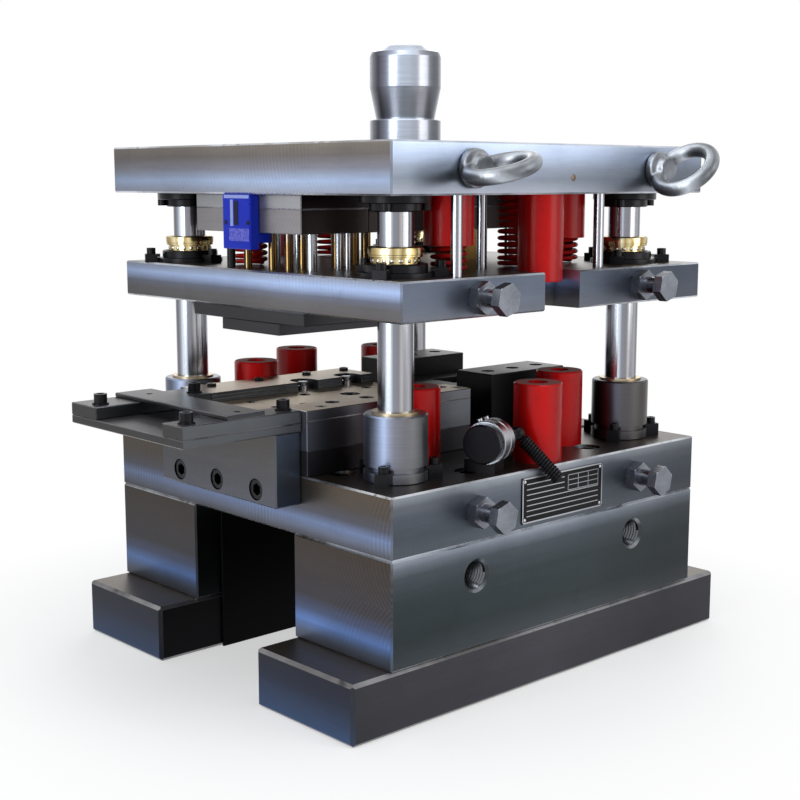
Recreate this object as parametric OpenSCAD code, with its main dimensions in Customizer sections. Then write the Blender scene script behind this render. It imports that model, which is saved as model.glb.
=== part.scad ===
// Progressive stamping die with ball guided posts, a sprung stripper plate, a feed table and riser feet.
// Lengths are in millimetres. The die axis, through the shank, is at x = die_x, y = 0, and z = 0 is the floor.
// -X is the feed side and -Y is the front.

/* [Shoes] */
// Length of both shoes along the feed
shoe_l = 420; // [400:5:480]
// Width of both shoes
shoe_w = 420; // [400:5:480]
// Thickness of the lower shoe
lower_shoe_t = 55; // [48:1:70]
// Thickness of the upper shoe
upper_shoe_t = 45; // [42:1:60]
// Chamfer on the edges of the ground plates
plate_chamfer = 1.6; // [0.8:0.2:3]

/* [Feet and risers] */
// Length of the foot bars
foot_l = 508; // [480:2:560]
// Height of the foot bars
foot_h = 55; // [40:1:70]
// Width of the feet and risers
riser_w = 132; // [124:1:140]
// Height of the riser bars
riser_h = 97; // [85:1:120]
// Thread core diameter of the lifting holes in the risers
lift_hole_d = 26.2; // [20:0.1:30]
// Depth of the lifting hole nearer the feed side; the other is drilled 2 mm deeper
lift_hole_depth = 52; // [40:1:60]
// Thickness of the lining plate in the scrap tunnel
liner_t = 3; // [2:0.5:5]

/* [Stripper] */
// Length of the stripper plate
stripper_l = 410; // [396:2:420]
// Thickness of the stripper plate
stripper_t = 35; // [30:1:45]
// Distance of the plate's middle from the die axis
stripper_shift = 6; // [0:1:8]
// Width of the notches that the upper stops pass through
notch_w = 48; // [46:1:56]
// Open gap between the lower shoe and the stripper plate
stripper_gap = 143.5; // [140:0.5:160]
// Thickness of the insert plate under the stripper
insert_t = 11.5; // [8:0.5:14]
// Thickness of the pads that press on the strip
pad_t = 11; // [8:0.5:11.5]
// Width of the pads
pad_w = 88; // [70:1:92]

/* [Upper set] */
// Open gap between the stripper plate and the upper shoe
upper_gap = 69.5; // [66:0.5:80]
// Travel of the upper shoe against the stripper springs
spring_travel = 25; // [18:1:26]
// Thickness of the punch backing plate
backing_t = 13; // [10:1:15]
// Thickness of the punch plate
punch_plate_t = 22; // [18:1:25]
// Length of the punch plates along the feed
punch_plate_l = 334; // [326:2:350]
// Width of the punch plates
punch_plate_w = 160; // [156:2:172]
// Depth to which the punches enter the die at the bottom of the stroke
punch_entry = 3; // [1:0.5:5]

/* [Shank] */
// Diameter of the shank
shank_d = 71; // [60:1:76]
// Diameter of the shank's neck
shank_neck_d = 58.5; // [50:0.5:59]
// Height of the shank above the upper shoe
shank_h = 98; // [90:1:110]

/* [Guides] */
// Diameter of the guide posts
post_d = 32; // [28:1:34]
// Distance from the shoe's edges to the post axes
post_inset = 54; // [52:1:58]
// Diameter of the guide balls
ball_d = 6; // [4.5:0.5:6]
// Number of balls in a row of a cage
balls_in_row = 18; // [10:1:18]
// Length of the ball cages
cage_l = 57; // [50:1:57]
// Outer diameter of the lower guide bushes
bush_d = 57; // [54:1:60]
// Height of the lower guide bushes above the shoe
bush_h = 59.5; // [50:0.5:62]
// Diameter of the flange on the stripper bushes
ball_bush_flange_d = 66; // [62:1:70]

/* [Die] */
// Length of the first die block along the feed
die_l = 206; // [190:2:216]
// Distance from the shoe's edges to the sides of the die blocks
die_margin = 111; // [111:1:115]
// Thickness of the die support plate
support_t = 23; // [15:1:30]
// Thickness of the die plate
die_plate_t = 27; // [20:1:32]
// Thickness of the stock guides
guide_t = 9.5; // [8:0.5:11]
// Front edge of the strip lane, from the die axis
lane_front = -62; // [-70:1:-56]
// Rear edge of the strip lane, from the die axis
lane_rear = 45; // [45:1:48]
// Thickness of the strip
strip_t = 1.5; // [0.5:0.1:2.5]
// Travel of the stock lifters
lifter_travel = 7; // [4:0.5:8]
// Height of the raised side blocks above the shoe
side_block_h = 69.5; // [60:0.5:71]

/* [Stops and springs] */
// Diameter of the lower height stops
lower_stop_d = 46; // [40:1:46]
// Height of the lower height stops
lower_stop_h = 74; // [70:0.5:74]
// Diameter of the upper stops
upper_stop_d = 42; // [36:1:44]
// Outer diameter of the stripper springs
spring_d = 33; // [28:1:34]
// Pitch of the spring coils
spring_pitch = 6.5; // [6.5:0.1:9]
// Thickness of the spring wire along the axis
spring_wire_h = 4.2; // [3:0.1:4.2]
// Outer diameter of the spring sleeves
sleeve_d = 45; // [42:1:46]

/* [Feed table] */
// Distance from the die axis to the free end of the table
table_reach = 336; // [300:2:380]
// Width of the table plate
table_w = 180; // [170:2:190]
// Thickness of the table plate
table_t = 7.5; // [6:0.5:10]
// Thickness of the feed bracket
bracket_t = 28; // [20:1:40]
// Depth of the bracket below the top of the lower shoe
bracket_drop = 26; // [22:1:36]
// Width of the cover plate over the table
cover_w = 40; // [30:1:60]
// Thickness of the cover plate
cover_t = 4; // [3:0.5:5]

/* [Fasteners] */
// Thread diameter of the eyebolts and lifting bolts
lift_bolt_d = 20; // [16:1:20]
// Outer diameter of the eyebolt rings
eye_ring_d = 68; // [60:1:76]
// Thickness of the eyebolt rings
eye_wire_d = 14; // [12:0.5:16]

/* [Hidden] */
$fn = 48;

// Gaps: between pieces that stop against each other, round fixed pieces in their holes, and running fits
stop_gap = 0.3;
seat_gap = 0.1;
run_gap = 0.05;
slide_gap = 0.3;

// The origin is under the middle of the whole outline, which the table makes longer on the feed side
die_x = (table_reach - foot_l / 2) / 2;

// Heights of the plates above the floor, with the die standing open
shoe_z = foot_h + riser_h;
bed_z = shoe_z + lower_shoe_t;
stripper_z = bed_z + stripper_gap;
stripper_top = stripper_z + stripper_t;
upper_z = stripper_top + upper_gap;
upper_top = upper_z + upper_shoe_t;
lane_z = bed_z + support_t + die_plate_t;
guide_top = lane_z + guide_t;
punch_plate_z = upper_z - backing_t - punch_plate_t;

// The stripper comes down to the lower stops, and then the upper set closes against its springs
press_travel = stripper_gap - lower_stop_h - stop_gap;
close_travel = press_travel + spring_travel;
upper_stop_z = bed_z + lower_stop_h + close_travel + stop_gap;
sleeve_z = stripper_top + spring_travel + stop_gap;
pad_z = lane_z + strip_t + press_travel;
insert_z = pad_z + pad_t;
punch_tip_z = lane_z - punch_entry + close_travel;

half_l = shoe_l / 2;
half_w = shoe_w / 2;
stripper_w = shoe_w;
die_w = shoe_w - 2 * die_margin;
riser_y = half_w - riser_w / 2;
post_x = half_l - post_inset;
post_y = half_w - post_inset;
posts = [[-post_x, -post_y], [post_x, -post_y], [-post_x, post_y], [post_x, post_y]];
die_left = -half_l;
form_l = 108;
form_w = 92;
side_block_w = (die_w - form_w) / 2 - 2;
side_screw_y = die_w / 2 - 23;
form_x = die_left + die_l + 30 + form_l / 2;
plate_left = die_left + 11;
plate_mid = plate_left + punch_plate_l / 2;
insert_l = die_l - 6;
pad_l = die_l - 14;

// Places of the stops, springs, punches and pins, from the die axis
stops = [[1, 28 - half_w], [81, 71 - half_w], [-102, 86 - half_w], [-98, half_w - 86], [2, half_w - 28],
    [92, half_w - 70]];
upper_stops_at = [stops[0], [stops[0][0], -stops[0][1]]];
notch_x = stops[0][0];
notch_round_y = half_w - 32;
springs = [[-98, 48 - half_w], [104, 91 - half_w], [16, 74 - half_w], [-150, 60], [104, half_w - 91],
    [16, half_w - 74]];
sleeved = [0, 1, 4];
round_punches = [[-180, -38, 8], [-180, -14, 8], [-180, 24, 8], [-148, -19, 10], [-112, -26, 12],
    [-112, 26, 12], [-75, 0, 20], [-36, -20, 10], [-36, 20, 10]];
form_punch = [46, 30];
bolt_places = [[-170, -59], [-115, 66], [118, -34], [118, 34]];
edge_pins = [[-124, 12 - half_w], [71, 17 - half_w], [-124, half_w - 12], [71, half_w - 17]];
slim_pins = [[-130, -49], [-130, -62], [42, 66], [42, 54]];
black_pins = [[-30, 73 - half_w], [-30, half_w - 73]];
lifters = [[-92, 54], [-34, 54]];
front_screw_x = [die_left + 27, die_left + 118, die_left + die_l - 8];
rear_screw_x = [die_left + 27, die_left + 85, die_left + 147, die_left + die_l - 8];
lift_x = [-108, 113];
bolt_turn = -10;
eye_x = [-118, 134];
eye_turn = [17, 43];
eye_z = upper_z + upper_shoe_t / 2;
plate_screws = [[-188, -68], [-60, -66], [40, -66], [118, -66], [-188, 68], [-60, 66], [10, 66], [118, 66]];
// Screws of a riser, from the die axis along x and from the riser's own middle along y
riser_screws = [[35 - half_l, -39], [84, 30], [-84, 30], [half_l - 35, -39]];

// Guide bush sizes
bush_flange_h = 9;
lining_d = post_d + 10;
lining_rise = 2;
spigot_d = 48;
race_d = post_d + 2 * ball_d + 2 * run_gap;
ball_bush_d = race_d + 9;
flange_t = 11.5;
cage_top = stripper_top + 26;
cage_rim_h = 9;
cage_rim_d = race_d + 4;
cage_wall_in = post_d / 2 + 0.6;
cage_wall_out = race_d / 2 - 0.6;
collar_h = 14;
collar_d = post_d + 14;
post_top = upper_top - 6;
post_end = bed_z + 11;
post_pocket = 44;

// Stripper bolt sizes
shoulder_d = 10;
bolt_head_d = 16;
bolt_head_h = 8;
bolt_seat = upper_top - spring_travel - bolt_head_h;
spring_pocket_z = upper_top - 20;
pin_d = 10;
pin_z = stripper_z + 2;
slim_d = 6;

function cut(a, b, c) = [[-a / 2 + c, -b / 2], [a / 2 - c, -b / 2], [a / 2, -b / 2 + c], [a / 2, b / 2 - c],
    [a / 2 - c, b / 2], [-a / 2 + c, b / 2], [-a / 2, b / 2 - c], [-a / 2, -b / 2 + c]];

// Coil from z = 0 up to h: four-sided wire, with closed turns at both ends
function coil_z(t, h, wire_h, turns) =
    t < 1 ? wire_h / 2 + t * wire_h
    : t > turns - 1 ? h - wire_h / 2 - (turns - t) * wire_h
    : 1.5 * wire_h + (t - 1) * (h - 3 * wire_h) / (turns - 2);

module at_die(p = [0, 0], z = 0) {
    translate([die_x + p[0], p[1], z]) children();
}

// Plate with chamfered edges, centred on x and y and standing on z = 0
module block(l, w, t, c = plate_chamfer) {
    intersection() {
        linear_extrude(t) polygon(cut(l, w, c));
        translate([0, w / 2, t / 2]) rotate([90, 0, 0]) linear_extrude(w) polygon(cut(l, t, c));
        translate([-l / 2, 0, t / 2]) rotate([90, 0, 90]) linear_extrude(l) polygon(cut(w, t, c));
    }
}

module hole(d, h) {
    translate([0, 0, -0.01]) cylinder(d = d, h = h + 0.02);
}

module tube(d_out, d_in, h) {
    difference() {
        cylinder(d = d_out, h = h);
        hole(d_in, h);
    }
}

// Socket head cap screw, with its seat at z = 0 and its shank below
module cap_screw(d, shank) {
    head_d = 1.5 * d;
    difference() {
        union() {
            cylinder(d = head_d, h = d);
            translate([0, 0, -shank]) cylinder(d = d, h = shank + 0.01);
        }
        translate([0, 0, d * 0.45]) cylinder(d = d * 0.98, h = d, $fn = 6);
    }
}

// Counterbored hole for a cap screw whose head seats at z = 0
module screw_hole(d, depth, up) {
    translate([0, 0, -depth]) cylinder(d = d + 2 * seat_gap, h = depth + 0.01);
    cylinder(d = 1.5 * d + 1.5, h = up);
}

// Helical spring with its lower end at z = 0
module coil(d, wire_w, wire_h, h, turns, steps = 12) {
    n = round(turns * steps);
    ring = [for (i = [0:n]) let (t = i / steps, a = 360 * t, z = coil_z(t, h, wire_h, turns))
        for (k = [0:3])
            let (r = d / 2 - ((k == 0 || k == 3) ? wire_w : 0), dz = (k < 2 ? -1 : 1) * wire_h * 0.47)
            [r * cos(a), r * sin(a), z + dz]];
    sides = [for (i = [0:n - 1]) for (k = [0:3])
        [4 * i + k, 4 * i + (k + 1) % 4, 4 * (i + 1) + (k + 1) % 4, 4 * (i + 1) + k]];
    polyhedron(points = ring, faces = concat([[3, 2, 1, 0]], [[4 * n, 4 * n + 1, 4 * n + 2, 4 * n + 3]],
        [for (f = sides) [f[3], f[2], f[1], f[0]]]), convexity = 8);
}

// Lower frame

module foot(side) {
    color("dimgray") at_die([0, side * riser_y]) difference() {
        block(foot_l, riser_w, foot_h, 2 * plate_chamfer);
        for (p = riser_screws) translate([p[0], side * p[1], 22]) rotate([180, 0, 0])
            screw_hole(16, foot_h, 30);
    }
}

module riser(side) {
    color("slategray") difference() {
        at_die([0, side * riser_y], foot_h) block(shoe_l, riser_w, riser_h, plate_chamfer);
        for (x = lift_x) at_die([x, side * half_w], foot_h + 0.68 * riser_h) rotate([side * 90, 0, 0]) {
            translate([0, 0, -0.01]) cylinder(d = lift_hole_d, h = lift_hole_depth + (x > 0 ? 2 : 0));
            translate([0, 0, -0.01]) cylinder(d1 = lift_hole_d + 5, d2 = lift_hole_d - 0.1, h = 2.6);
        }
        for (p = riser_screws) at_die([p[0], side * (riser_y + p[1])], foot_h - 0.01) {
            cylinder(d = 16 + 2 * seat_gap, h = 28);
            translate([0, 0, riser_h - 30]) cylinder(d = 16 + 2 * seat_gap, h = 31);
        }
        for (x = [-post_x, post_x]) at_die([x, side * post_y], shoe_z - post_pocket)
            cylinder(d = spigot_d, h = post_pocket + 1);
    }
}

module foot_front() foot(-1);
module foot_rear() foot(1);
module riser_front() riser(-1);
module riser_rear() riser(1);

// Sheet that lines the rear wall of the tunnel between the risers
module tunnel_liner() {
    liner_l = shoe_l - 58;
    color("black") at_die([0, shoe_w / 2 - riser_w - liner_t / 2]) block(liner_l, liner_t, shoe_z, 0.4);
}

// Screws from the feet up into the risers, and from the lower shoe down into the risers
module frame_screws() {
    color("black") for (side = [-1, 1]) for (p = riser_screws) {
        at_die([p[0], side * (riser_y + p[1])], 22) rotate([180, 0, 0]) cap_screw(16, foot_h - 22 + 24);
        at_die([p[0], side * (riser_y + p[1])], bed_z - 18) cap_screw(16, lower_shoe_t - 18 + 26);
    }
}

module lower_shoe() {
    color("silver") difference() {
        at_die([0, 0], shoe_z) block(shoe_l, shoe_w, lower_shoe_t);
        for (p = posts) at_die(p, shoe_z) hole(spigot_d, lower_shoe_t);
        for (side = [-1, 1]) for (p = riser_screws) at_die([p[0], side * (riser_y + p[1])], bed_z - 18)
            screw_hole(16, lower_shoe_t, 19);
        for (p = round_punches) at_die(p, shoe_z) hole(p[2] + 5, lower_shoe_t);
        for (side = [-1, 1]) for (x = lift_x) at_die([x, side * half_w], shoe_z + lower_shoe_t / 2)
            rotate([side * 90, 0, 0]) hole(lift_bolt_d + 2 * seat_gap, 40);
        for (y = [-60, 0, 60]) at_die([die_left, y], bed_z - 13) rotate([0, 90, 0]) hole(12.2, 30);
    }
}

// Guide parts on the lower shoe

module lower_bushes() {
    groove_d = bush_d - 7;
    color("gray") for (p = posts) at_die(p, bed_z) difference() {
        union() {
            rotate_extrude() polygon([[0, 0], [bush_d / 2 - 0.8, 0], [bush_d / 2, 0.8],
                [bush_d / 2, bush_flange_h], [groove_d / 2, bush_flange_h], [groove_d / 2, 13.5],
                [bush_d / 2, 14.2], [bush_d / 2, bush_h - 1.4], [bush_d / 2 - 1.4, bush_h], [0, bush_h]]);
            translate([0, 0, 8 - lower_shoe_t]) cylinder(d = spigot_d - 2 * seat_gap, h = lower_shoe_t - 7.9);
        }
        hole(lining_d + 2 * seat_gap, bush_h);
        translate([0, 0, 7 - lower_shoe_t]) cylinder(d = post_d + 5, h = lower_shoe_t);
    }
}

module bush_linings() {
    color("goldenrod") for (p = posts) at_die(p, bed_z + 0.5) difference() {
        cylinder(d = lining_d, h = bush_h + lining_rise - 0.5);
        hole(post_d + 2 * run_gap, bush_h + lining_rise);
    }
}

// Toe clamp with its cap screw, for a flange of radius r and height h; the toe lies on the flange
module toe_clamp(r, h, screw_d) {
    body = 2.1 * screw_d;
    difference() {
        union() {
            translate([r + seat_gap, -body / 2, 0]) cube([body, body, h + 3]);
            translate([r - 2.4, -body / 2, h + 0.05]) cube([4, body, 2.95]);
        }
        translate([r + seat_gap + body / 2, 0, 0]) hole(screw_d + 2 * seat_gap, h + 3);
    }
    translate([r + seat_gap + body / 2, 0, h + 3.02]) cap_screw(screw_d, h + 3);
}

// Directions of the three clamps round each post; on the stripper, the first one turns away from the sleeves
function clamp_turns(p, first = 30) = p[1] < 0 ? [-first, 90, 210] : [first, 150, 270];

module bush_clamps() {
    color("black") for (p = posts) for (a = clamp_turns(p)) at_die(p, bed_z) rotate([0, 0, a])
        toe_clamp(bush_d / 2, bush_flange_h + 0.2, 6);
}

// Die blocks and stock guides

module punch_holes(z, h, extra) {
    for (p = round_punches) at_die(p, z) hole(p[2] + extra, h);
}

module die_support() {
    color("dimgray") at_die([0, 0], 0) difference() {
        translate([die_left + die_l / 2, 0, bed_z]) block(die_l, die_w, support_t, 0.6);
        translate([-die_x, 0, 0]) punch_holes(bed_z, support_t, 4);
        for (p = lifters) translate([p[0], p[1], bed_z + 6]) cylinder(d = 15, h = support_t);
    }
}

module die_plate() {
    land = 9;
    color("slategray") difference() {
        at_die([die_left + die_l / 2, 0], lane_z - die_plate_t) block(die_l, die_w, die_plate_t, 0.6);
        punch_holes(lane_z - die_plate_t, die_plate_t, 2 * run_gap + 0.1);
        punch_holes(lane_z - die_plate_t, die_plate_t - land, 2);
        for (p = lifters) at_die(p, lane_z - die_plate_t) {
            hole(15, die_plate_t - 8);
            hole(10 + 2 * run_gap, die_plate_t);
        }
    }
}

module stock_guide_front() {
    guide_w = lane_front + die_w / 2;
    color("lightsteelblue") difference() {
        at_die([die_left + die_l / 2, -die_w / 2 + guide_w / 2], lane_z) block(die_l, guide_w, guide_t, 0.6);
        for (x = [50, 92, 150, 188]) at_die([die_left + x, lane_front - 12], lane_z) hole(14, guide_t);
        for (x = front_screw_x) at_die([x, 13 - die_w / 2], guide_top - 6) screw_hole(6, guide_t, 7);
    }
}

// Rear guide: three laminations, scalloped round the stock lifters
module stock_guide_rear() {
    guide_w = die_w / 2 - lane_rear;
    scallop_d = 26;
    lamination = guide_t / 3;
    color("slategray") for (i = [0:2]) difference() {
        at_die([die_left + die_l / 2, lane_rear + guide_w / 2], lane_z + i * lamination)
            block(die_l, guide_w, lamination, 0.3);
        for (p = lifters) at_die(p, lane_z + i * lamination) {
            hole(scallop_d, lamination);
            translate([0, -scallop_d / 2, lamination / 2])
                cube([scallop_d, scallop_d, 2 * lamination], center = true);
        }
        for (x = rear_screw_x) at_die([x, die_w / 2 - 15], lane_z + i * lamination)
            hole(i == 2 ? 10.5 : 6.2, lamination);
    }
}

// Second stage: a forming block between two raised side blocks
module form_die() {
    color("dimgray") difference() {
        at_die([form_x, 0], bed_z) block(form_l, form_w, lane_z - bed_z, 0.6);
        at_die([form_x, 0], lane_z - 6) cube([form_punch[0] + 4, form_punch[1] + 4, 12.1], center = true);
    }
}

module side_blocks() {
    color("black") difference() {
        for (side = [-1, 1]) at_die([form_x, side * (die_w / 2 - side_block_w / 2)], bed_z)
            block(form_l, side_block_w, side_block_h, 1);
        for (x = [-36, 0, 36]) for (side = [-1, 1])
            at_die([form_x + x, side * side_screw_y], bed_z + side_block_h - 9) screw_hole(8, 30, 10);
    }
}

module die_screws() {
    color("black") {
        for (x = front_screw_x) at_die([x, 13 - die_w / 2], guide_top - 6) cap_screw(6, guide_t - 6.5);
        for (x = rear_screw_x) at_die([x, die_w / 2 - 15], guide_top - guide_t / 3 + 0.02)
            cap_screw(6, 2 * guide_t / 3 - 0.5);
        for (x = [-36, 0, 36]) for (side = [-1, 1])
            at_die([form_x + x, side * side_screw_y], bed_z + side_block_h - 9) cap_screw(8, 28);
        for (p = stops) at_die(p, bed_z + lower_stop_h - 18) cap_screw(12, lower_stop_h - 18.5);
    }
}

module lower_stops() {
    color("firebrick") for (p = stops) at_die(p, bed_z) difference() {
        rotate_extrude() polygon([[0, 0], [lower_stop_d / 2, 0], [lower_stop_d / 2, lower_stop_h - 1.2],
            [lower_stop_d / 2 - 1.2, lower_stop_h], [0, lower_stop_h]]);
        translate([0, 0, lower_stop_h - 18]) screw_hole(12, lower_stop_h, 19);
    }
}

// Stock lifters: a grooved pin that a spring holds up in the die plate
module lifter(i) {
    color("silver") at_die(lifters[i]) {
        rotate_extrude() polygon([[0, lane_z - 15], [5, lane_z - 15], [5, lane_z + lifter_travel - 3],
            [3.6, lane_z + lifter_travel - 2.4], [3.6, lane_z + lifter_travel - 1],
            [5, lane_z + lifter_travel - 0.4], [5, lane_z + lifter_travel + 0.8],
            [4.4, lane_z + lifter_travel + 1.4], [0, lane_z + lifter_travel + 1.4]]);
        translate([0, 0, lane_z - 15]) cylinder(d = 13, h = 6.7);
    }
}

module lifter_1() lifter(0);
module lifter_2() lifter(1);

module lifter_spring(i) {
    base = bed_z + 6.3;
    color("firebrick") at_die(lifters[i], base) coil(12, 2, 1.6, lane_z - 15 - base - stop_gap, 7, 10);
}

module lifter_spring_1() lifter_spring(0);
module lifter_spring_2() lifter_spring(1);

// Feed table

table_z = lane_z - table_t - 2;
table_y = [-table_w / 2 - 2, table_w / 2 - 2];
rail_front_w = lane_front - table_y[0];
rail_rear_w = table_y[1] - lane_rear;
table_screw_y = [table_y[0] + 14, table_y[1] - 28];
table_end = -table_reach;
table_l = table_reach + die_left - seat_gap;
table_mid = table_end + table_l / 2;
cover_x = table_end + 46 + cover_w / 2;

module feed_bracket() {
    bracket_z = bed_z - bracket_drop;
    color("gray") difference() {
        at_die([die_left - bracket_t / 2 - seat_gap, 0], bracket_z)
            block(bracket_t, table_w, table_z - bracket_z, 1);
        for (y = [-60, 0, 60]) at_die([die_left - bracket_t, y], bed_z - 13) rotate([0, -90, 0]) {
            translate([0, 0, -bracket_t - 1]) cylinder(d = 12.2, h = bracket_t + 2);
            translate([0, 0, -13]) cylinder(d = 20, h = 20);
        }
    }
}

module table_plate() {
    color("gray") at_die([table_mid, -2], table_z) block(table_l, table_w, table_t, 0.8);
}

module table_rail(y, w, screw_y) {
    color("gray") difference() {
        at_die([table_mid, y], table_z + table_t) block(table_l, w, guide_top - table_z - table_t, 0.8);
        for (x = [14, 116]) at_die([table_end + x, screw_y], table_z + table_t) hole(8.3, guide_t + 3);
    }
}

module table_rail_front() table_rail(table_y[0] + rail_front_w / 2, rail_front_w, table_screw_y[0]);
module table_rail_rear() table_rail(table_y[1] - rail_rear_w / 2, rail_rear_w, table_screw_y[1]);

module table_cover() {
    color("dimgray") difference() {
        at_die([cover_x, -2], guide_top) block(cover_w, table_w, cover_t, 0.8);
        for (y = table_screw_y) at_die([cover_x, y], guide_top) hole(6.2, cover_t);
    }
}

module table_screws() {
    color("black") {
        for (x = [14, 116]) for (y = table_screw_y)
            at_die([table_end + x, y], guide_top) {
                translate([0, 0, 1.6]) cap_screw(8, 1.6 + guide_top - table_z - table_t);
                tube(15, 8.4, 1.55);
            }
        for (y = [-60, 0, 60]) at_die([die_left - bracket_t + 13, y], bed_z - 13) rotate([0, -90, 0])
            cap_screw(12, bracket_t - 13 + 26);
    }
}

module nameplate() {
    color("black") at_die([6, -half_w - 0.5], shoe_z + 5.5) block(113, 1, 42.5, 0.3);
}

// Hexagon lifting bolt, standing on a face at z = 0: nut, bare shank and head
module lift_bolt(depth) {
    across = 1.5 * lift_bolt_d / cos(30);
    nut_t = 0.5 * lift_bolt_d;
    head_t = 0.45 * lift_bolt_d;
    head_z = nut_t + 17;
    translate([0, 0, -depth]) cylinder(d = lift_bolt_d, h = depth + head_z + 0.5);
    for (part = [[0.05, nut_t], [head_z, head_t]]) translate([0, 0, part[0]]) intersection() {
        cylinder(d = across, h = part[1], $fn = 6);
        rotate_extrude() polygon([[0, 0], [across / 2 - 1.8, 0], [across / 2, 1.2], [across / 2, part[1] - 1.2],
            [across / 2 - 1.8, part[1]], [0, part[1]]]);
    }
}

module shoe_lift_bolts() {
    color("silver") for (side = [-1, 1]) for (x = lift_x)
        at_die([x, side * half_w], shoe_z + lower_shoe_t / 2) rotate([side * -90, 0, 0])
            rotate([0, 0, bolt_turn]) lift_bolt(38);
}

// Sensor: a round head held in a split clamp, with a coil guard over its lead
sensor_at = [-92, 12 - half_w];
sensor_turn = 20;
sensor_z = bed_z + 28;
sensor_d = 36;
elbow_d = 13.5;
guard_top = [-42, 14 - half_w, bed_z + 32];
guard_end = [-14, -half_w - 13, bed_z - 11];
guard_d = 11;

module sensor_head() {
    color("black") at_die(sensor_at, sensor_z) rotate([0, 0, sensor_turn]) rotate([0, 90, 0]) {
        rotate_extrude() polygon([[0, 0], [sensor_d / 2 - 1.5, 0], [sensor_d / 2, 1.5], [sensor_d / 2, 9],
            [sensor_d / 2 - 2, 9.6], [sensor_d / 2 - 2, 34], [0, 34]]);
    }
    rear = sensor_at + 30 * [cos(sensor_turn), sin(sensor_turn)];
    elbow = guard_top - [rear[0], rear[1], sensor_z];
    color("black") at_die(rear, sensor_z)
        rotate([0, acos(elbow[2] / norm(elbow)), atan2(elbow[1], elbow[0])]) cylinder(d = 12, h = norm(elbow));
    color("black") at_die([guard_top[0], guard_top[1]], guard_top[2]) sphere(d = elbow_d);
}

module sensor_clamp() {
    ring_d = sensor_d + 4;
    color("lightgray") at_die(sensor_at) rotate([0, 0, sensor_turn]) difference() {
        union() {
            translate([11, 0, sensor_z]) rotate([0, 90, 0]) cylinder(d = ring_d, h = 21);
            translate([11, -9, bed_z]) cube([21, 18, sensor_z - bed_z - 10]);
            translate([11, 7, bed_z]) cube([21, 18, 6]);
            translate([11, -5, sensor_z + 14]) cube([21, 10, 12]);
        }
        translate([10, 0, sensor_z]) rotate([0, 90, 0]) cylinder(d = sensor_d - 4 + 2 * seat_gap, h = 23);
        translate([10, -1.2, sensor_z + 8]) cube([23, 2.4, 30]);
        translate([21.5, 17, bed_z]) hole(6.4, 6);
    }
}

// Coil guard, from the elbow behind the sensor down over the front edge of the shoe
module sensor_guard() {
    run = guard_end - guard_top;
    start = elbow_d / 2 + stop_gap;
    len = norm(run) - start;
    color("black") at_die([guard_top[0], guard_top[1]], guard_top[2])
        rotate([0, acos(run[2] / norm(run)), atan2(run[1], run[0])]) translate([0, 0, start]) {
            coil(guard_d, 1.8, 1.9, len, 17, 12);
            cylinder(d = 7, h = len - 1.5);
        }
}

// Stripper set

module notches() {
    for (side = [-1, 1]) {
        at_die([notch_x, side * notch_round_y], stripper_z) hole(notch_w, stripper_t);
        at_die([notch_x, side * (notch_round_y + 50)], stripper_z + stripper_t / 2)
            cube([notch_w, 100, stripper_t + 2], center = true);
    }
}

module stripper_plate() {
    color("silver") difference() {
        at_die([stripper_shift, 0], stripper_z) block(stripper_l, stripper_w, stripper_t);
        notches();
        for (p = posts) at_die(p, stripper_z) hole(ball_bush_d + 2 * seat_gap, stripper_t);
        punch_holes(stripper_z, stripper_t, 1);
        for (p = bolt_places) at_die(p, stripper_top - 20) cylinder(d = 8 + 2 * seat_gap, h = 21);
        for (p = edge_pins) at_die(p, stripper_z) hole(pin_d + 2 * slide_gap, stripper_t);
        for (p = black_pins) at_die(p, stripper_z) hole(pin_d + 2 * slide_gap, stripper_t);
        for (p = slim_pins) at_die(p, stripper_z) hole(slim_d + 2 * slide_gap, stripper_t);
        at_die([form_x, 0], stripper_z + stripper_t / 2)
            cube([form_punch[0] + 1, form_punch[1] + 1, stripper_t + 1], center = true);
        for (side = [-1, 1]) for (x = lift_x) at_die([x, side * stripper_w / 2], stripper_z + stripper_t / 2)
            rotate([side * 90, 0, 0]) hole(lift_bolt_d + 2 * seat_gap, 36);
    }
}

module stripper_insert() {
    color("black") difference() {
        at_die([plate_left + 1 + insert_l / 2, 4], insert_z)
            block(insert_l, punch_plate_w + 10, stripper_z - insert_z, 0.6);
        punch_holes(insert_z, stripper_z - insert_z, 0.6);
        for (p = slim_pins) at_die(p, insert_z) hole(slim_d + 2 * slide_gap, insert_t + 1);
    }
}

module stripper_pads() {
    color("black") difference() {
        union() {
            at_die([plate_left + 2 + pad_l / 2, 0], pad_z) block(pad_l, pad_w, insert_z - pad_z, 0.6);
            at_die([form_x, 0], pad_z) block(form_l - 4, pad_w - 4, stripper_z - pad_z, 0.6);
        }
        punch_holes(pad_z, pad_t, 2 * run_gap + 0.1);
        at_die([form_x, 0], pad_z + pad_t)
            cube([form_punch[0] + 0.6, form_punch[1] + 0.6, 4 * pad_t], center = true);
    }
}

module stripper_bushes() {
    flange_d = ball_bush_flange_d;
    rim_low = cage_top - stripper_top - cage_rim_h - spring_travel / 2;
    color("black") for (p = posts) at_die(p, stripper_top) difference() {
        union() {
            rotate_extrude() polygon([[0, 0], [flange_d / 2, 0], [flange_d / 2, 4], [flange_d / 2 - 5, 4.6],
                [flange_d / 2 - 5, flange_t - 1], [flange_d / 2 - 6, flange_t], [0, flange_t]]);
            translate([0, 0, -stripper_t]) cylinder(d = ball_bush_d, h = stripper_t + 0.5);
        }
        translate([0, 0, -stripper_t]) hole(race_d, stripper_t + flange_t);
        translate([0, 0, rim_low - 0.5]) cylinder(d = cage_rim_d + 1, h = flange_t);
    }
}

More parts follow.
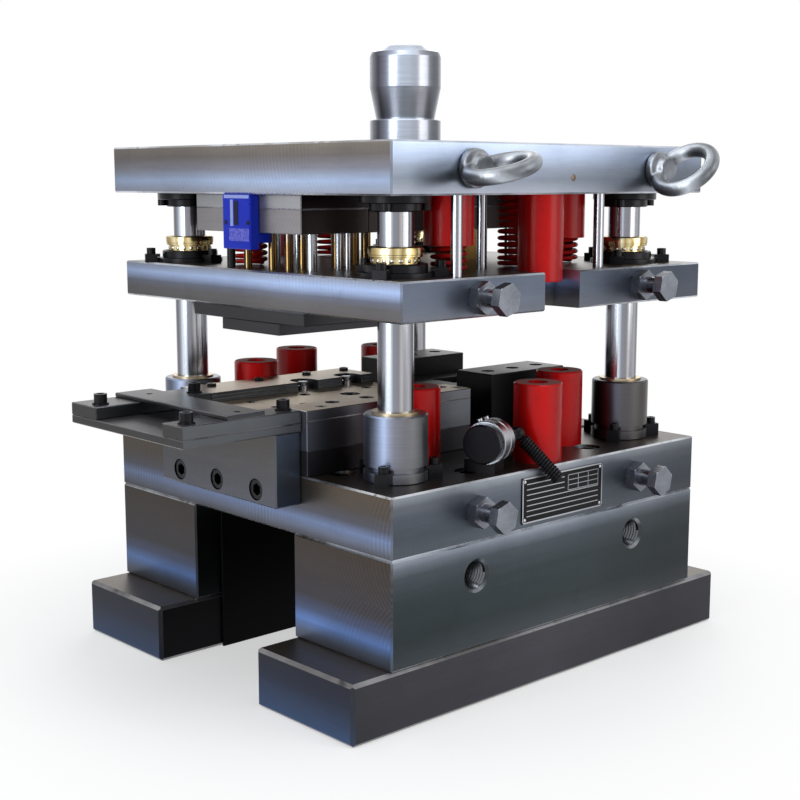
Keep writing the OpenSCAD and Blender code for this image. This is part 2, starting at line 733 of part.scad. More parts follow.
module stripper_clamps() {
    color("black") for (p = posts) for (a = clamp_turns(p, 38)) at_die(p, stripper_top) rotate([0, 0, a])
        toe_clamp(ball_bush_flange_d / 2, 4.9, 6);
}

module stripper_lift_bolts() {
    color("silver") for (side = [-1, 1]) for (x = lift_x)
        at_die([x, side * stripper_w / 2], stripper_z + stripper_t / 2) rotate([side * -90, 0, 0])
            rotate([0, 0, bolt_turn]) lift_bolt(34);
}

module stripper_springs() {
    h = spring_pocket_z - stripper_top - 2 * seat_gap;
    color("firebrick") for (p = springs) at_die(p, stripper_top + seat_gap)
        coil(spring_d, 5.5, spring_wire_h, h, round(h / spring_pitch));
}

module stripper_bolts() {
    color("silver") for (p = bolt_places) at_die(p) {
        translate([0, 0, stripper_top]) cylinder(d = shoulder_d, h = bolt_seat - stripper_top + 0.1);
        translate([0, 0, stripper_top - 18]) cylinder(d = 8, h = 18.1);
        translate([0, 0, bolt_seat + 0.05]) difference() {
            cylinder(d = bolt_head_d, h = bolt_head_h - 0.05);
            translate([0, 0, 3.5]) cylinder(d = 7, h = bolt_head_h, $fn = 6);
        }
    }
}

// Upper set

module upper_shoe() {
    color("silver") difference() {
        at_die([0, 0], upper_z) block(shoe_l, shoe_w, upper_shoe_t);
        for (p = posts) at_die(p, upper_z) hole(post_d + 2 * seat_gap, upper_shoe_t);
        for (p = springs) at_die(p, upper_z - 0.01) cylinder(d = spring_d + 1.6, h = spring_pocket_z - upper_z);
        for (p = bolt_places) at_die(p, upper_z) {
            hole(shoulder_d + 2 * slide_gap, upper_shoe_t);
            translate([0, 0, bolt_seat - upper_z]) cylinder(d = bolt_head_d + 1, h = upper_shoe_t);
        }
        for (p = plate_screws) at_die(p, upper_top - 12) screw_hole(10, upper_shoe_t, 13);
        for (p = concat(edge_pins, black_pins)) at_die(p, upper_z - 0.01)
            cylinder(d = pin_d + 2 * seat_gap, h = 10.01);
        at_die([0, 0], upper_z + 8) cylinder(d = 50 + 2 * seat_gap, h = upper_shoe_t);
        for (side = [-1, 1]) for (x = eye_x) at_die([x, side * half_w], eye_z) rotate([side * 90, 0, 0])
            hole(lift_bolt_d + 2 * seat_gap, 32);
    }
}

module shank() {
    collar_h = 26.5;
    neck_top = 58.5;
    color("silver") at_die([0, 0], upper_top) {
        rotate_extrude($fn = 96) polygon([[0, 0], [shank_d / 2, 0], [shank_d / 2, collar_h - 0.6],
            [shank_d / 2 - 0.6, collar_h], [shank_neck_d / 2, collar_h], [shank_neck_d / 2, collar_h + 1.5],
            [shank_d / 2, neck_top], [shank_d / 2, shank_h - 10], [shank_d / 2 - 1.8, shank_h - 5.5],
            [shank_d / 2 - 11, shank_h], [0, shank_h]]);
        translate([0, 0, 8.2 - upper_shoe_t]) cylinder(d = 50, h = upper_shoe_t - 8);
    }
}

module guide_posts() {
    end = 2.5;
    color("gainsboro") for (p = posts) at_die(p) rotate_extrude($fn = 72) polygon([[0, post_end],
        [post_d / 2 - end, post_end], [post_d / 2, post_end + end], [post_d / 2, post_top - 1],
        [post_d / 2 - 1, post_top], [0, post_top]]);
}

// Collars under the upper shoe, each with three screws through its flange
module post_clamps() {
    flange_d = collar_d + 17;
    color("black") for (p = posts) at_die(p, upper_z) {
        difference() {
            translate([0, 0, -collar_h]) rotate_extrude() polygon([[0, 0], [collar_d / 2 - 1, 0],
                [collar_d / 2, 1], [collar_d / 2, collar_h - 7], [flange_d / 2 - 0.8, collar_h - 7],
                [flange_d / 2, collar_h - 6.2], [flange_d / 2, collar_h], [0, collar_h]]);
            translate([0, 0, -collar_h]) hole(post_d + 2 * seat_gap, collar_h);
        }
        for (a = clamp_turns(p)) rotate([0, 0, a]) translate([flange_d / 2 - 4.6, 0, -6.95]) rotate([180, 0, 0])
            difference() {
                cylinder(d = 9, h = 6);
                translate([0, 0, 2.7]) cylinder(d = 5.8, h = 6, $fn = 6);
            }
    }
}

module upper_plate_holes(z, h) {
    for (p = springs) at_die(p, z) hole(spring_d + 1.6, h);
    for (p = bolt_places) at_die(p, z) hole(shoulder_d + 2 * slide_gap, h);
    at_die(plunger_at, z) hole(plunger_d + 2 * slide_gap, h);
}

module punch_backing() {
    color("dimgray") difference() {
        at_die([plate_mid, 0], punch_plate_z + punch_plate_t)
            block(punch_plate_l, punch_plate_w, backing_t, 0.8);
        upper_plate_holes(punch_plate_z + punch_plate_t, backing_t);
        for (p = plate_screws) at_die(p, punch_plate_z + punch_plate_t) hole(10 + 2 * seat_gap, backing_t);
    }
}

module punch_plate() {
    seam = 1;
    color("silver") difference() {
        at_die([plate_mid, 0], punch_plate_z) block(punch_plate_l, punch_plate_w, punch_plate_t, 0.8);
        upper_plate_holes(punch_plate_z, punch_plate_t);
        punch_holes(punch_plate_z, punch_plate_t, 2 * seat_gap);
        for (p = slim_pins) at_die(p, punch_plate_z) hole(slim_d + 2 * seat_gap, punch_plate_t);
        for (p = plate_screws) at_die(p, punch_plate_z + 4) cylinder(d = 10 + 2 * seat_gap, h = punch_plate_t);
        at_die([form_x, 0], punch_plate_z + punch_plate_t / 2)
            cube([form_punch[0] + 2 * seat_gap, form_punch[1] + 2 * seat_gap, punch_plate_t + 1],
                center = true);
        for (side = [-1, 1]) at_die([-120, side * punch_plate_w / 2], punch_plate_z + punch_plate_t / 2)
            cube([seam, 2 * seam, punch_plate_t + 1], center = true);
    }
}

module punches() {
    color("gainsboro") {
        for (p = round_punches) at_die(p, punch_tip_z) {
            cylinder(d = p[2], h = punch_plate_z + punch_plate_t - punch_tip_z);
        }
        at_die([form_x, 0], punch_tip_z - 1) translate([-form_punch[0] / 2, -form_punch[1] / 2, 0])
            cube([form_punch[0], form_punch[1], punch_plate_z + punch_plate_t - punch_tip_z + 1]);
    }
}

// Small guide pins: bright and black ones in the shoe, slim ones in the punch plate
module guide_pins() {
    slim_z = bed_z + side_block_h + close_travel + stop_gap;
    color("gainsboro") {
        for (p = edge_pins) at_die(p, pin_z) cylinder(d = pin_d, h = upper_z + 9.9 - pin_z);
        for (p = slim_pins) at_die(p, slim_z) cylinder(d = slim_d, h = punch_plate_z + punch_plate_t - slim_z);
    }
    color("black") for (p = black_pins) at_die(p, pin_z) cylinder(d = pin_d, h = upper_z + 9.9 - pin_z);
}

module upper_stops() {
    color("firebrick") for (p = upper_stops_at) at_die(p, upper_stop_z) difference() {
        rotate_extrude() polygon([[0, 0], [upper_stop_d / 2 - 1, 0], [upper_stop_d / 2, 1],
            [upper_stop_d / 2, upper_z - upper_stop_z], [0, upper_z - upper_stop_z]]);
        translate([0, 0, -0.01]) cylinder(d = 18, h = 16);
    }
}

module spring_sleeves() {
    color("firebrick") for (i = sleeved) at_die(springs[i], sleeve_z)
        tube(sleeve_d, spring_d + 1.6, upper_z - sleeve_z);
}

// Lifting eyebolt, standing on a face at z = 0
module eyebolt(turn) {
    collar_r = 0.9 * lift_bolt_d;
    ring_r = (eye_ring_d - eye_wire_d) / 2;
    rotate([0, 0, turn]) {
        translate([0, 0, -30]) cylinder(d = lift_bolt_d, h = 34);
        rotate_extrude() polygon([[0, 0.05], [collar_r - 1, 0.05], [collar_r, 1], [collar_r, 4.5],
            [collar_r * 0.8, 8], [collar_r * 0.62, 13], [0, 13]]);
        translate([0, 0, eye_ring_d / 2 + 0.5]) rotate([90, 0, 0]) rotate_extrude($fn = 72)
            translate([ring_r, 0]) circle(d = eye_wire_d);
    }
}

module eyebolts() {
    color("darkgray") for (side = [-1, 1]) for (i = [0, 1]) at_die([eye_x[i], side * half_w], eye_z)
        rotate([side * -90, 0, 0]) eyebolt(-side * eye_turn[i]);
}

// Stroke counter under the feed edge of the upper shoe. Its foot clears the stripper when the springs close
counter_y = [-20, 22];
counter_front = die_left;
counter_z = upper_z - 50;
counter_l = 24;

module counter_body() {
    counter_w = counter_y[1] - counter_y[0];
    counter_mid = (counter_y[0] + counter_y[1]) / 2;
    face_l = plate_left - counter_front - seat_gap;
    foot_z = stripper_top + spring_travel + stop_gap;
    color("mediumblue") {
        at_die([counter_front + face_l / 2, counter_mid], counter_z)
            block(face_l, counter_w, upper_z - counter_z, 1);
        at_die([counter_front + counter_l / 2, counter_mid], foot_z)
            block(counter_l, counter_w, punch_plate_z - foot_z - 0.3, 1);
    }
}

// Pin that trips the counter: it stands on the stripper and slides in the punch plate
plunger_at = [die_left + 17, 33];
plunger_d = 8;

module counter_plunger() {
    color("black") at_die(plunger_at, stripper_top + stop_gap)
        cylinder(d = plunger_d, h = punch_plate_z + 4 - stripper_top - stop_gap);
}

// Ball cage: a brass sleeve with a rim at its top and two rows of balls below
module ball_cage(i) {
    row_r = (post_d + ball_d) / 2;
    first_row = cage_l - cage_rim_h - ball_d / 2;
    color("gold") at_die(posts[i], cage_top - cage_l) union() {
        difference() {
            union() {
                cylinder(r = cage_wall_out, h = cage_l);
                translate([0, 0, cage_l - cage_rim_h]) cylinder(d = cage_rim_d, h = cage_rim_h);
            }
            hole(2 * cage_wall_in, cage_l);
        }
        for (row = [0, 1]) for (k = [0:balls_in_row - 1])
            rotate([0, 0, (k + row / 2) * 360 / balls_in_row]) translate([row_r, 0, first_row - ball_d * row])
                sphere(d = ball_d - 2 * 0.02, $fn = 24);
    }
}

module ball_cage_1() ball_cage(0);
module ball_cage_2() ball_cage(1);
module ball_cage_3() ball_cage(2);
module ball_cage_4() ball_cage(3);

foot_front();
foot_rear();
riser_front();
riser_rear();
tunnel_liner();
frame_screws();
lower_shoe();
lower_bushes();
bush_linings();
bush_clamps();
die_support();
die_plate();
stock_guide_front();
stock_guide_rear();
form_die();
side_blocks();
die_screws();
lower_stops();
lifter_1();
lifter_2();
lifter_spring_1();
lifter_spring_2();
feed_bracket();
table_plate();
table_rail_front();
table_rail_rear();
table_cover();
table_screws();
nameplate();
shoe_lift_bolts();
sensor_head();
sensor_clamp();
sensor_guard();
stripper_plate();
stripper_insert();
stripper_pads();
stripper_bushes();
stripper_clamps();
stripper_lift_bolts();
stripper_springs();
stripper_bolts();
upper_shoe();
shank();
guide_posts();
post_clamps();
punch_backing();
punch_plate();
punches();
guide_pins();
upper_stops();
spring_sleeves();
eyebolts();
counter_body();
counter_plunger();
ball_cage_1();
ball_cage_2();
ball_cage_3();
ball_cage_4();
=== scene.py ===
from math import pi, radians

import bmesh
import bpy
from mathutils import Matrix, Vector


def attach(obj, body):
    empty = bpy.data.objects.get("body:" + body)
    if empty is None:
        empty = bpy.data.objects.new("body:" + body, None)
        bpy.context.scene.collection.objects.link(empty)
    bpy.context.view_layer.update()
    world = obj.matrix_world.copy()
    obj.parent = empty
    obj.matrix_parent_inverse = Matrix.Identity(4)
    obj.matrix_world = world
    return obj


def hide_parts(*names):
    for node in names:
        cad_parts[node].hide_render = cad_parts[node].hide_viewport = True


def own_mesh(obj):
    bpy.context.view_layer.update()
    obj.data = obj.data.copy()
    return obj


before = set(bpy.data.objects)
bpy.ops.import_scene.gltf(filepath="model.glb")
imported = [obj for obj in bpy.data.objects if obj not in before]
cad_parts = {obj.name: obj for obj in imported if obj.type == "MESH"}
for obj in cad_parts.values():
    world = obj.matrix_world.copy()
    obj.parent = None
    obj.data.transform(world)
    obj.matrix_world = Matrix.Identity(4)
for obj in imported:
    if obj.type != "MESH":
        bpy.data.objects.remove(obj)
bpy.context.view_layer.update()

# Camera
# It stands off the die's near corner, a little above the stripper plate, and looks slightly down.
# Its place, yaw, pitch and focal length come from a fit to the corners of the plates.
camera_spot = (-0.92536, -1.04208, 0.46829)
camera_yaw, camera_pitch = 47.375, 9.026
camera_data = bpy.data.cameras.new("camera")
camera_data.lens = 62.53
camera_data.sensor_width = 36
camera = bpy.data.objects.new("camera", camera_data)
camera.location = camera_spot
camera.rotation_euler = (radians(90 - camera_pitch), 0, radians(camera_yaw - 90))
bpy.context.collection.objects.link(camera)
bpy.context.scene.camera = camera
bpy.context.scene.view_settings.view_transform = "Standard"


# Studio
# A pale floor and plain soft lamps: a broad one above, one to the left, one to the right and one behind.
# To the camera and in reflections the air and the far floor are plain white.
class Wire:
    """One output socket of a material; sums on wires add the Math nodes that work them out."""

    def __init__(self, paint, socket):
        self.paint = paint
        self.socket = socket

    def maths(self, operation, *others):
        return self.paint.add("ShaderNodeMath", {"operation": operation}, dict(enumerate((self, *others))))

    def __add__(self, other):
        return self.maths("ADD", other)

    def __sub__(self, other):
        return self.maths("SUBTRACT", other)

    def __rsub__(self, other):
        return self.paint.add("ShaderNodeMath", {"operation": "SUBTRACT"}, {0: other, 1: self})

    def __mul__(self, other):
        return self.maths("MULTIPLY", other)

    def __abs__(self):
        return self.maths("ABSOLUTE")

    __radd__ = __add__
    __rmul__ = __mul__


class Paint:
    """A procedural finish. add() makes any node from its type, its settings and its sockets' values or wires."""

    def __init__(self, name, tree=None):
        if tree is None:
            self.material = bpy.data.materials.new(name)
            self.material.use_nodes = True
            tree = self.material.node_tree
        self.tree = tree
        self.shader = next((n for n in tree.nodes if n.bl_idname == "ShaderNodeBsdfPrincipled"), None)

    def plug(self, socket, value):
        if isinstance(value, Wire):
            self.tree.links.new(value.socket, socket)
        elif isinstance(value, tuple) and len(value) == 3 and socket.type == "RGBA":
            socket.default_value = (*value, 1)
        else:
            socket.default_value = value

    def add(self, kind, settings, sockets, out=0):
        node = self.tree.nodes.new(kind)
        for name, value in settings.items():
            if name == "stops":
                ramp = node.color_ramp.elements
                while len(ramp) < len(value):
                    ramp.new(0.5)
                for element, (place, colour) in zip(ramp, value):
                    element.position = place
                    element.color = (*colour, 1) if isinstance(colour, tuple) else (colour, colour, colour, 1)
            else:
                setattr(node, name, value)
        for name, value in sockets.items():
            self.plug(node.inputs[name], value)
        return Wire(self, node.outputs[out])

    def spot(self):
        return self.add("ShaderNodeTexCoord", {}, {}, "Object")

    def axes(self, vector):
        split = self.add("ShaderNodeSeparateXYZ", {}, {0: vector})
        return [Wire(self, output) for output in split.socket.node.outputs]

    def facing(self):
        """How far the surface faces along x, y and z, each from -1 to 1."""
        return self.axes(self.add("ShaderNodeTexCoord", {}, {}, "Normal"))

    def noise(self, scale, detail=3, rough=0.55, stretch=(1, 1, 1)):
        place = self.add("ShaderNodeMapping", {}, {"Vector": self.spot(), "Scale": stretch})
        return self.add("ShaderNodeTexNoise", {}, {"Vector": place, "Scale": scale, "Detail": detail,
                                                   "Roughness": rough})

    def clamped(self, value, low, high):
        """0 where the value is at low or beyond, 1 at high or beyond."""
        return self.add("ShaderNodeMapRange", {"clamp": True}, {0: value, 1: low, 2: high, 3: 0.0, 4: 1.0})

    def mixed(self, factor, first, second):
        return self.add("ShaderNodeMix", {"data_type": "RGBA"}, {0: factor, 6: first, 7: second}, 2)

    def blended(self, factor, first, second):
        return self.add("ShaderNodeMix", {"data_type": "FLOAT"}, {0: factor, 2: first, 3: second}, 0)

    def banded(self, value, stops):
        """A colour that runs through the stops (place from 0 to 1, colour) as the value goes from 0 to 1."""
        return self.add("ShaderNodeValToRGB", {"stops": stops}, {0: value})

    def around(self, tilt=0.0):
        """How far a round surface faces from the near side's left end (0) to its right end (1); it places painted
        reflections and shade.
        """
        x, y, z = self.facing()
        right_x, right_y = 0.735, -0.678
        return 0.5 + 0.5 * (right_x * x + right_y * y + tilt * z)

    def shaded(self, colour, shade):
        """The colour times the shade."""
        return self.add("ShaderNodeMix", {"data_type": "RGBA", "blend_type": "MULTIPLY"},
                        {0: 1.0, 6: colour, 7: shade}, 2)

    def scaled(self, colour, factor):
        return self.add("ShaderNodeVectorMath", {"operation": "SCALE"}, {0: colour, "Scale": factor})

    def bumped(self, height, distance, strength):
        return self.add("ShaderNodeBump", {}, {"Height": height, "Distance": distance, "Strength": strength})

    def set(self, **sockets):
        for name, value in sockets.items():
            self.plug(self.shader.inputs[name.replace("_", " ")], value)
        return self.material


def lamp(name, spot, size, watts, colour=(1, 1, 1)):
    """A soft lamp that looks at the middle of the die."""
    data = bpy.data.lights.new(name, "AREA")
    data.shape = "RECTANGLE"
    data.size, data.size_y = size
    data.energy = watts
    data.color = colour
    light = bpy.data.objects.new(name, data)
    light.location = spot
    aim = Vector((0, 0, 0.3)) - Vector(spot)
    light.rotation_euler = aim.to_track_quat("-Z", "Y").to_euler()
    bpy.context.collection.objects.link(light)


lamp("top_lamp", (-0.1, -0.2, 2.1), (1.8, 1.8), 26)
lamp("left_lamp", (-2.2, -0.2, 1.0), (1.0, 1.8), 22, (0.96, 0.98, 1.0))
lamp("right_lamp", (0.8, -2.2, 0.9), (1.4, 1.6), 20)
lamp("back_lamp", (1.6, 1.6, 1.6), (1.6, 1.2), 14)

world = bpy.data.worlds.new("studio")
world.use_nodes = True
bpy.context.scene.world = world
air = Paint("studio_air", world.node_tree)
background = world.node_tree.nodes["Background"]
plain_white, sky_tone, sky_strength = (1.0, 1.0, 1.0), (0.62, 0.66, 0.72), 0.35


def seen_or_mirrored(paint):
    """1 where the camera, a reflection or a transparent piece looks, 0 for the light that falls on the object."""
    kinds = ("Is Camera Ray", "Is Glossy Ray", "Is Transmission Ray")
    camera_ray, glossy_ray, clear_ray = [paint.add("ShaderNodeLightPath", {}, {}, kind) for kind in kinds]
    return camera_ray.maths("MAXIMUM", glossy_ray).maths("MAXIMUM", clear_ray)


seen_air = seen_or_mirrored(air)
air.plug(background.inputs["Color"], air.mixed(seen_air, sky_tone, plain_white))
air.plug(background.inputs["Strength"], sky_strength + (1 - sky_strength) * seen_air)

# The floor keeps the object's shadow near it and turns to the plain white of the air further out.
floor_radius, shadow_near, shadow_far = 6, 0.30, 0.55
floor_mesh = bmesh.new()
bmesh.ops.create_circle(floor_mesh, cap_ends=True, segments=96, radius=floor_radius)
floor_data = bpy.data.meshes.new("floor")
floor_mesh.to_mesh(floor_data)
floor_mesh.free()
floor = bpy.data.objects.new("floor", floor_data)
bpy.context.collection.objects.link(floor)
floor_paint = Paint("pale_floor")
floor_paint.set(Base_Color=(0.95, 0.95, 0.95), Roughness=0.9)
floor_x, floor_y = floor_paint.axes(floor_paint.spot())[:2]
far_off = floor_paint.clamped((floor_x * floor_x + floor_y * floor_y).maths("SQRT"), shadow_near, shadow_far)
matt = Wire(floor_paint, floor_paint.shader.outputs[0])
white = floor_paint.add("ShaderNodeEmission", {}, {"Color": plain_white, "Strength": 1.0})
whitened = (0.5 + 0.5 * far_off) * seen_or_mirrored(floor_paint)
cover = floor_paint.add("ShaderNodeMixShader", {}, {0: whitened, 1: matt, 2: white})
floor_paint.plug(floor_paint.tree.nodes["Material Output"].inputs["Surface"], cover)
floor_data.materials.append(floor_paint.material)


# Ground plates
# The shoes, stripper plate and risers are steel plates, milled and ground all over, with bright broken edges.
# Painted reflections lay brown and blue bands along their sides, and a painted highlight lies on the edges that face
# up;
# face milling leaves arcs side by side on their edges.
MM = 0.001
SHOE_HALF, STRIPPER_TOP = 210, 385.5
cutter_radius, cutter_feed, cutter_row = 75 * MM, 5 * MM, 110 * MM
wheel_x, wheel_y, wheel_pass = -0.9, -0.4, 3 * MM


def finish_node(material, *names):
    for name in names:
        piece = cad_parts[name]
        piece.data.materials.clear()
        piece.data.materials.append(material)


def steel(name, span, left, front, top, edge_tone, roughness=0.36, arcs=0.5):
    """A plate between the heights of span in mm. Left and front are the bands of its sides, from its foot up: painted
    reflections and shade.
    """
    paint = Paint(name)
    x, y, z = paint.axes(paint.spot())
    normal = paint.facing()
    face_x, face_y, face_z = [abs(k) for k in normal]
    flat = face_x.maths("MAXIMUM", face_y).maths("MAXIMUM", face_z)
    edge = paint.clamped(flat, 0.93, 0.85)
    level = paint.clamped(face_z, 0.6, 0.9)
    cloud = paint.noise(9.0, 4, 0.6)
    stain = paint.noise(34.0, 5, 0.7, (1, 1, 0.5))
    grain = paint.noise(320.0, 3, 0.7, (0.12, 0.12, 1.0))
    # The cutter's arcs on the sides, and the grinding wheel's wide arcs on the flat faces
    height = z.maths("WRAP", cutter_row, 0.0) - cutter_row / 2
    bow = (cutter_radius ** 2 - height * height).maths("SQRT")
    wander = paint.noise(14.0, 2) * (6 * MM)
    side_arcs = ((x + y - bow + wander) * (2 * pi / cutter_feed)).maths("SINE") * (0.12 + 0.88 * face_x)
    wheel = ((x - wheel_x) * (x - wheel_x) + (y - wheel_y) * (y - wheel_y)).maths("SQRT")
    top_arcs = (wheel * (2 * pi / wheel_pass)).maths("SINE")
    marks = paint.blended(level, side_arcs, top_arcs) * 0.5 + 0.5
    patchy = paint.clamped(paint.noise(7.0, 4, 0.6), 0.48, 0.68)
    streaks = paint.noise(60.0, 3, 0.6, (0.05, 0.05, 1.0))
    # The painted reflection bands run along the sides and waver a little
    waver = 0.05 * (span[1] - span[0]) * MM
    rise = paint.clamped(z + (cloud - 0.5) * waver, span[0] * MM, span[1] * MM)
    side = paint.mixed(paint.clamped(face_x - face_y, -0.1, 0.1), paint.banded(rise, front), paint.banded(rise, left))
    colour = paint.mixed(level, side, top)
    lit = (0.92 + 0.42 * (cloud - 0.45) + (marks - 0.5) * (0.50 * arcs) * patchy + (grain - 0.5) * 0.22
           + (streaks - 0.5) * 0.30)
    # Painted shade darkens the ends of the sides and the walls that look into the tunnel
    half = SHOE_HALF * MM
    inward_shade = paint.clamped(normal[1] * y, -0.02, -0.06)
    far_end = paint.clamped(x, 0.05, half) * face_y
    near_end = paint.clamped(x, -0.05, -half) * face_y
    left_end = paint.clamped(y, -0.10, half) * face_x
    lit = lit * (1 - 0.40 * far_end) * (1 - 0.26 * near_end) * (1 - 0.42 * left_end) * (1 - 0.85 * inward_shade)
    colour = paint.scaled(colour, lit)
    colour = paint.mixed(paint.clamped(stain, 0.60, 0.78) * 0.35, colour, paint.scaled(colour, 0.55))
    # Painted highlight on the bright ground edges, strongest where the chamfers face up
    bright = edge * (0.05 + 0.90 * paint.clamped(face_z, 0.3, 0.6)) * paint.clamped(stain, 0.30, 0.45)
    bright = bright * (0.25 + 0.75 * paint.clamped(cloud, 0.40, 0.58))
    colour = paint.mixed(bright, colour, edge_tone)
    rough = roughness + 0.10 * (cloud - 0.5) + 0.10 * (marks - 0.5) * patchy - 0.08 * edge
    height_map = marks * (0.5 * arcs) * patchy + grain * 0.7
    return paint.set(Base_Color=colour, Metallic=0.9, Roughness=rough,
                     Normal=paint.bumped(height_map, 0.00006, 0.5))


finish_node(steel("ground_upper_shoe", (455, 500),
                  ((0.0, (0.33, 0.35, 0.42)), (0.27, (0.42, 0.53, 0.76)), (0.5, (0.27, 0.28, 0.34)),
                   (0.75, (0.19, 0.17, 0.165)), (1.0, (0.26, 0.23, 0.20))),
                  ((0.0, (0.32, 0.34, 0.40)), (0.3, (0.20, 0.23, 0.28)), (0.5, (0.26, 0.30, 0.37)),
                   (0.75, (0.42, 0.50, 0.66)), (1.0, (0.60, 0.70, 0.88))),
                  (0.22, 0.21, 0.20), (0.62, 0.65, 0.72), 0.33, 0.35), "upper_shoe")
finish_node(steel("ground_stripper", (350.5, STRIPPER_TOP),
                  ((0.0, (0.14, 0.13, 0.13)), (0.3, (0.15, 0.15, 0.16)), (0.48, (0.17, 0.19, 0.26)),
                   (0.62, (0.34, 0.43, 0.66)), (0.74, (0.46, 0.60, 0.92)), (0.88, (0.36, 0.43, 0.60)),
                   (1.0, (0.28, 0.31, 0.40))),
                  ((0.0, (0.14, 0.15, 0.18)), (0.5, (0.115, 0.135, 0.18)), (1.0, (0.10, 0.12, 0.16))),
                  (0.085, 0.07, 0.06), (0.55, 0.58, 0.64), 0.34, 0.35), "stripper_plate")
# The lower shoe's dark brown top is partly painted shade under the upper set
finish_node(steel("ground_lower_shoe", (152, 207),
                  ((0.0, (0.07, 0.065, 0.065)), (0.14, (0.14, 0.16, 0.22)), (0.30, (0.18, 0.24, 0.41)),
                   (0.46, (0.10, 0.105, 0.135)), (0.70, (0.095, 0.082, 0.073)), (1.0, (0.11, 0.086, 0.064))),
                  ((0.0, (0.095, 0.11, 0.13)), (0.3, (0.075, 0.09, 0.11)), (0.6, (0.09, 0.105, 0.13)),
                   (0.82, (0.14, 0.155, 0.185)), (1.0, (0.32, 0.35, 0.39))),
                  (0.055, 0.045, 0.04), (0.62, 0.64, 0.68), 0.36, 0.9), "lower_shoe")
finish_node(steel("milled_riser", (55, 152),
                  ((0.0, (0.08, 0.08, 0.10)), (0.10, (0.12, 0.15, 0.22)), (0.22, (0.14, 0.25, 0.56)),
                   (0.33, (0.085, 0.11, 0.20)), (0.46, (0.058, 0.056, 0.066)), (1.0, (0.062, 0.048, 0.040))),
                  ((0.0, (0.06, 0.07, 0.08)), (0.25, (0.032, 0.042, 0.046)), (0.6, (0.038, 0.05, 0.056)),
                   (0.84, (0.07, 0.085, 0.10)), (0.93, (0.17, 0.19, 0.23)), (1.0, (0.30, 0.34, 0.40))),
                  (0.09, 0.08, 0.07), (0.34, 0.36, 0.40), 0.36, 1.0), "riser_front", "riser_rear")
finish_node(steel("milled_foot", (0, 55),
                  ((0.0, (0.05, 0.095, 0.20)), (0.3, (0.042, 0.066, 0.13)), (0.6, (0.028, 0.036, 0.062)),
                   (1.0, (0.026, 0.027, 0.038))),
                  ((0.0, (0.055, 0.055, 0.066)), (1.0, (0.058, 0.058, 0.068))),
                  (0.125, 0.108, 0.094), (0.26, 0.26, 0.27), 0.40, 0.9), "foot_front", "foot_rear")


def plain_steel(name, tone, edge_tone, roughness=0.36, arcs=0.3, front=None, top=None):
    """The same steel without bands. Front and top, where given, are those faces' own tones with painted light and
    shade.
    """
    return steel(name, (0, 500), ((0.0, tone), (1.0, tone)), ((0.0, front or tone), (1.0, front or tone)),
                 top or tone, edge_tone, roughness, arcs)


# Tunnel lining
# A thin steel sheet, cut to the height of the riser,
# lies flat against the rear wall of the scrap tunnel; its near-black tone is painted shade.
finish_node(plain_steel("tunnel_lining", (0.012, 0.012, 0.016), (0.03, 0.03, 0.035), 0.40, 0.2), "tunnel_liner")

# Die and punch plates
# The die blocks and the punch plates are tool steel, hardened and ground on all faces.
# Painted shade makes the support plate, form die, insert and pads near-black and darkens the fronts of the backing
# and punch plates;
# oil darkens the tops of the guides.
finish_node(plain_steel("hardened_plate", (0.17, 0.18, 0.21), (0.45, 0.46, 0.48), 0.32, 0.2,
                        (0.14, 0.15, 0.17), (0.36, 0.27, 0.17)), "die_plate", "stock_guide_front")
finish_node(plain_steel("shaded_plate", (0.045, 0.045, 0.05), (0.11, 0.11, 0.12), 0.40, 0.3),
            "die_support", "form_die", "stripper_insert", "stripper_pads")
finish_node(plain_steel("guide_laminations", (0.14, 0.15, 0.17), (0.30, 0.31, 0.33), 0.34, 0.3,
                        (0.13, 0.14, 0.16), (0.26, 0.20, 0.13)), "stock_guide_rear")
finish_node(plain_steel("black_block", (0.018, 0.018, 0.020), (0.05, 0.05, 0.05), 0.38, 0.2), "side_blocks")
finish_node(plain_steel("backing_plate", (0.36, 0.365, 0.39), (0.45, 0.45, 0.48), 0.34, 0.2,
                        (0.03, 0.025, 0.028)), "punch_backing")
finish_node(plain_steel("punch_plate_steel", (0.29, 0.28, 0.29), (0.42, 0.41, 0.44), 0.36, 0.3,
                        (0.045, 0.035, 0.035)), "punch_plate")

# Feed table
# The strip comes in over a table on a bracket that is screwed to the lower shoe; all are milled plates.
# A dark cover plate bridges the table's two rails.
finish_node(steel("milled_bracket", (120, 240),
                  ((0.0, (0.13, 0.14, 0.19)), (0.5, (0.11, 0.115, 0.14)), (1.0, (0.095, 0.09, 0.085))),
                  ((0.0, (0.10, 0.12, 0.16)), (1.0, (0.085, 0.105, 0.145))),
                  (0.07, 0.065, 0.06), (0.40, 0.41, 0.44), 0.34, 0.5), "feed_bracket")
finish_node(plain_steel("milled_table", (0.05, 0.048, 0.05), (0.20, 0.20, 0.21), 0.36, 0.1,
                        (0.11, 0.12, 0.13), (0.10, 0.095, 0.10)), "table_plate", "table_rail_front",
            "table_rail_rear")
finish_node(plain_steel("dark_cover", (0.06, 0.06, 0.066), (0.12, 0.12, 0.13), 0.34, 0.3, None,
                        (0.038, 0.038, 0.044)), "table_cover")
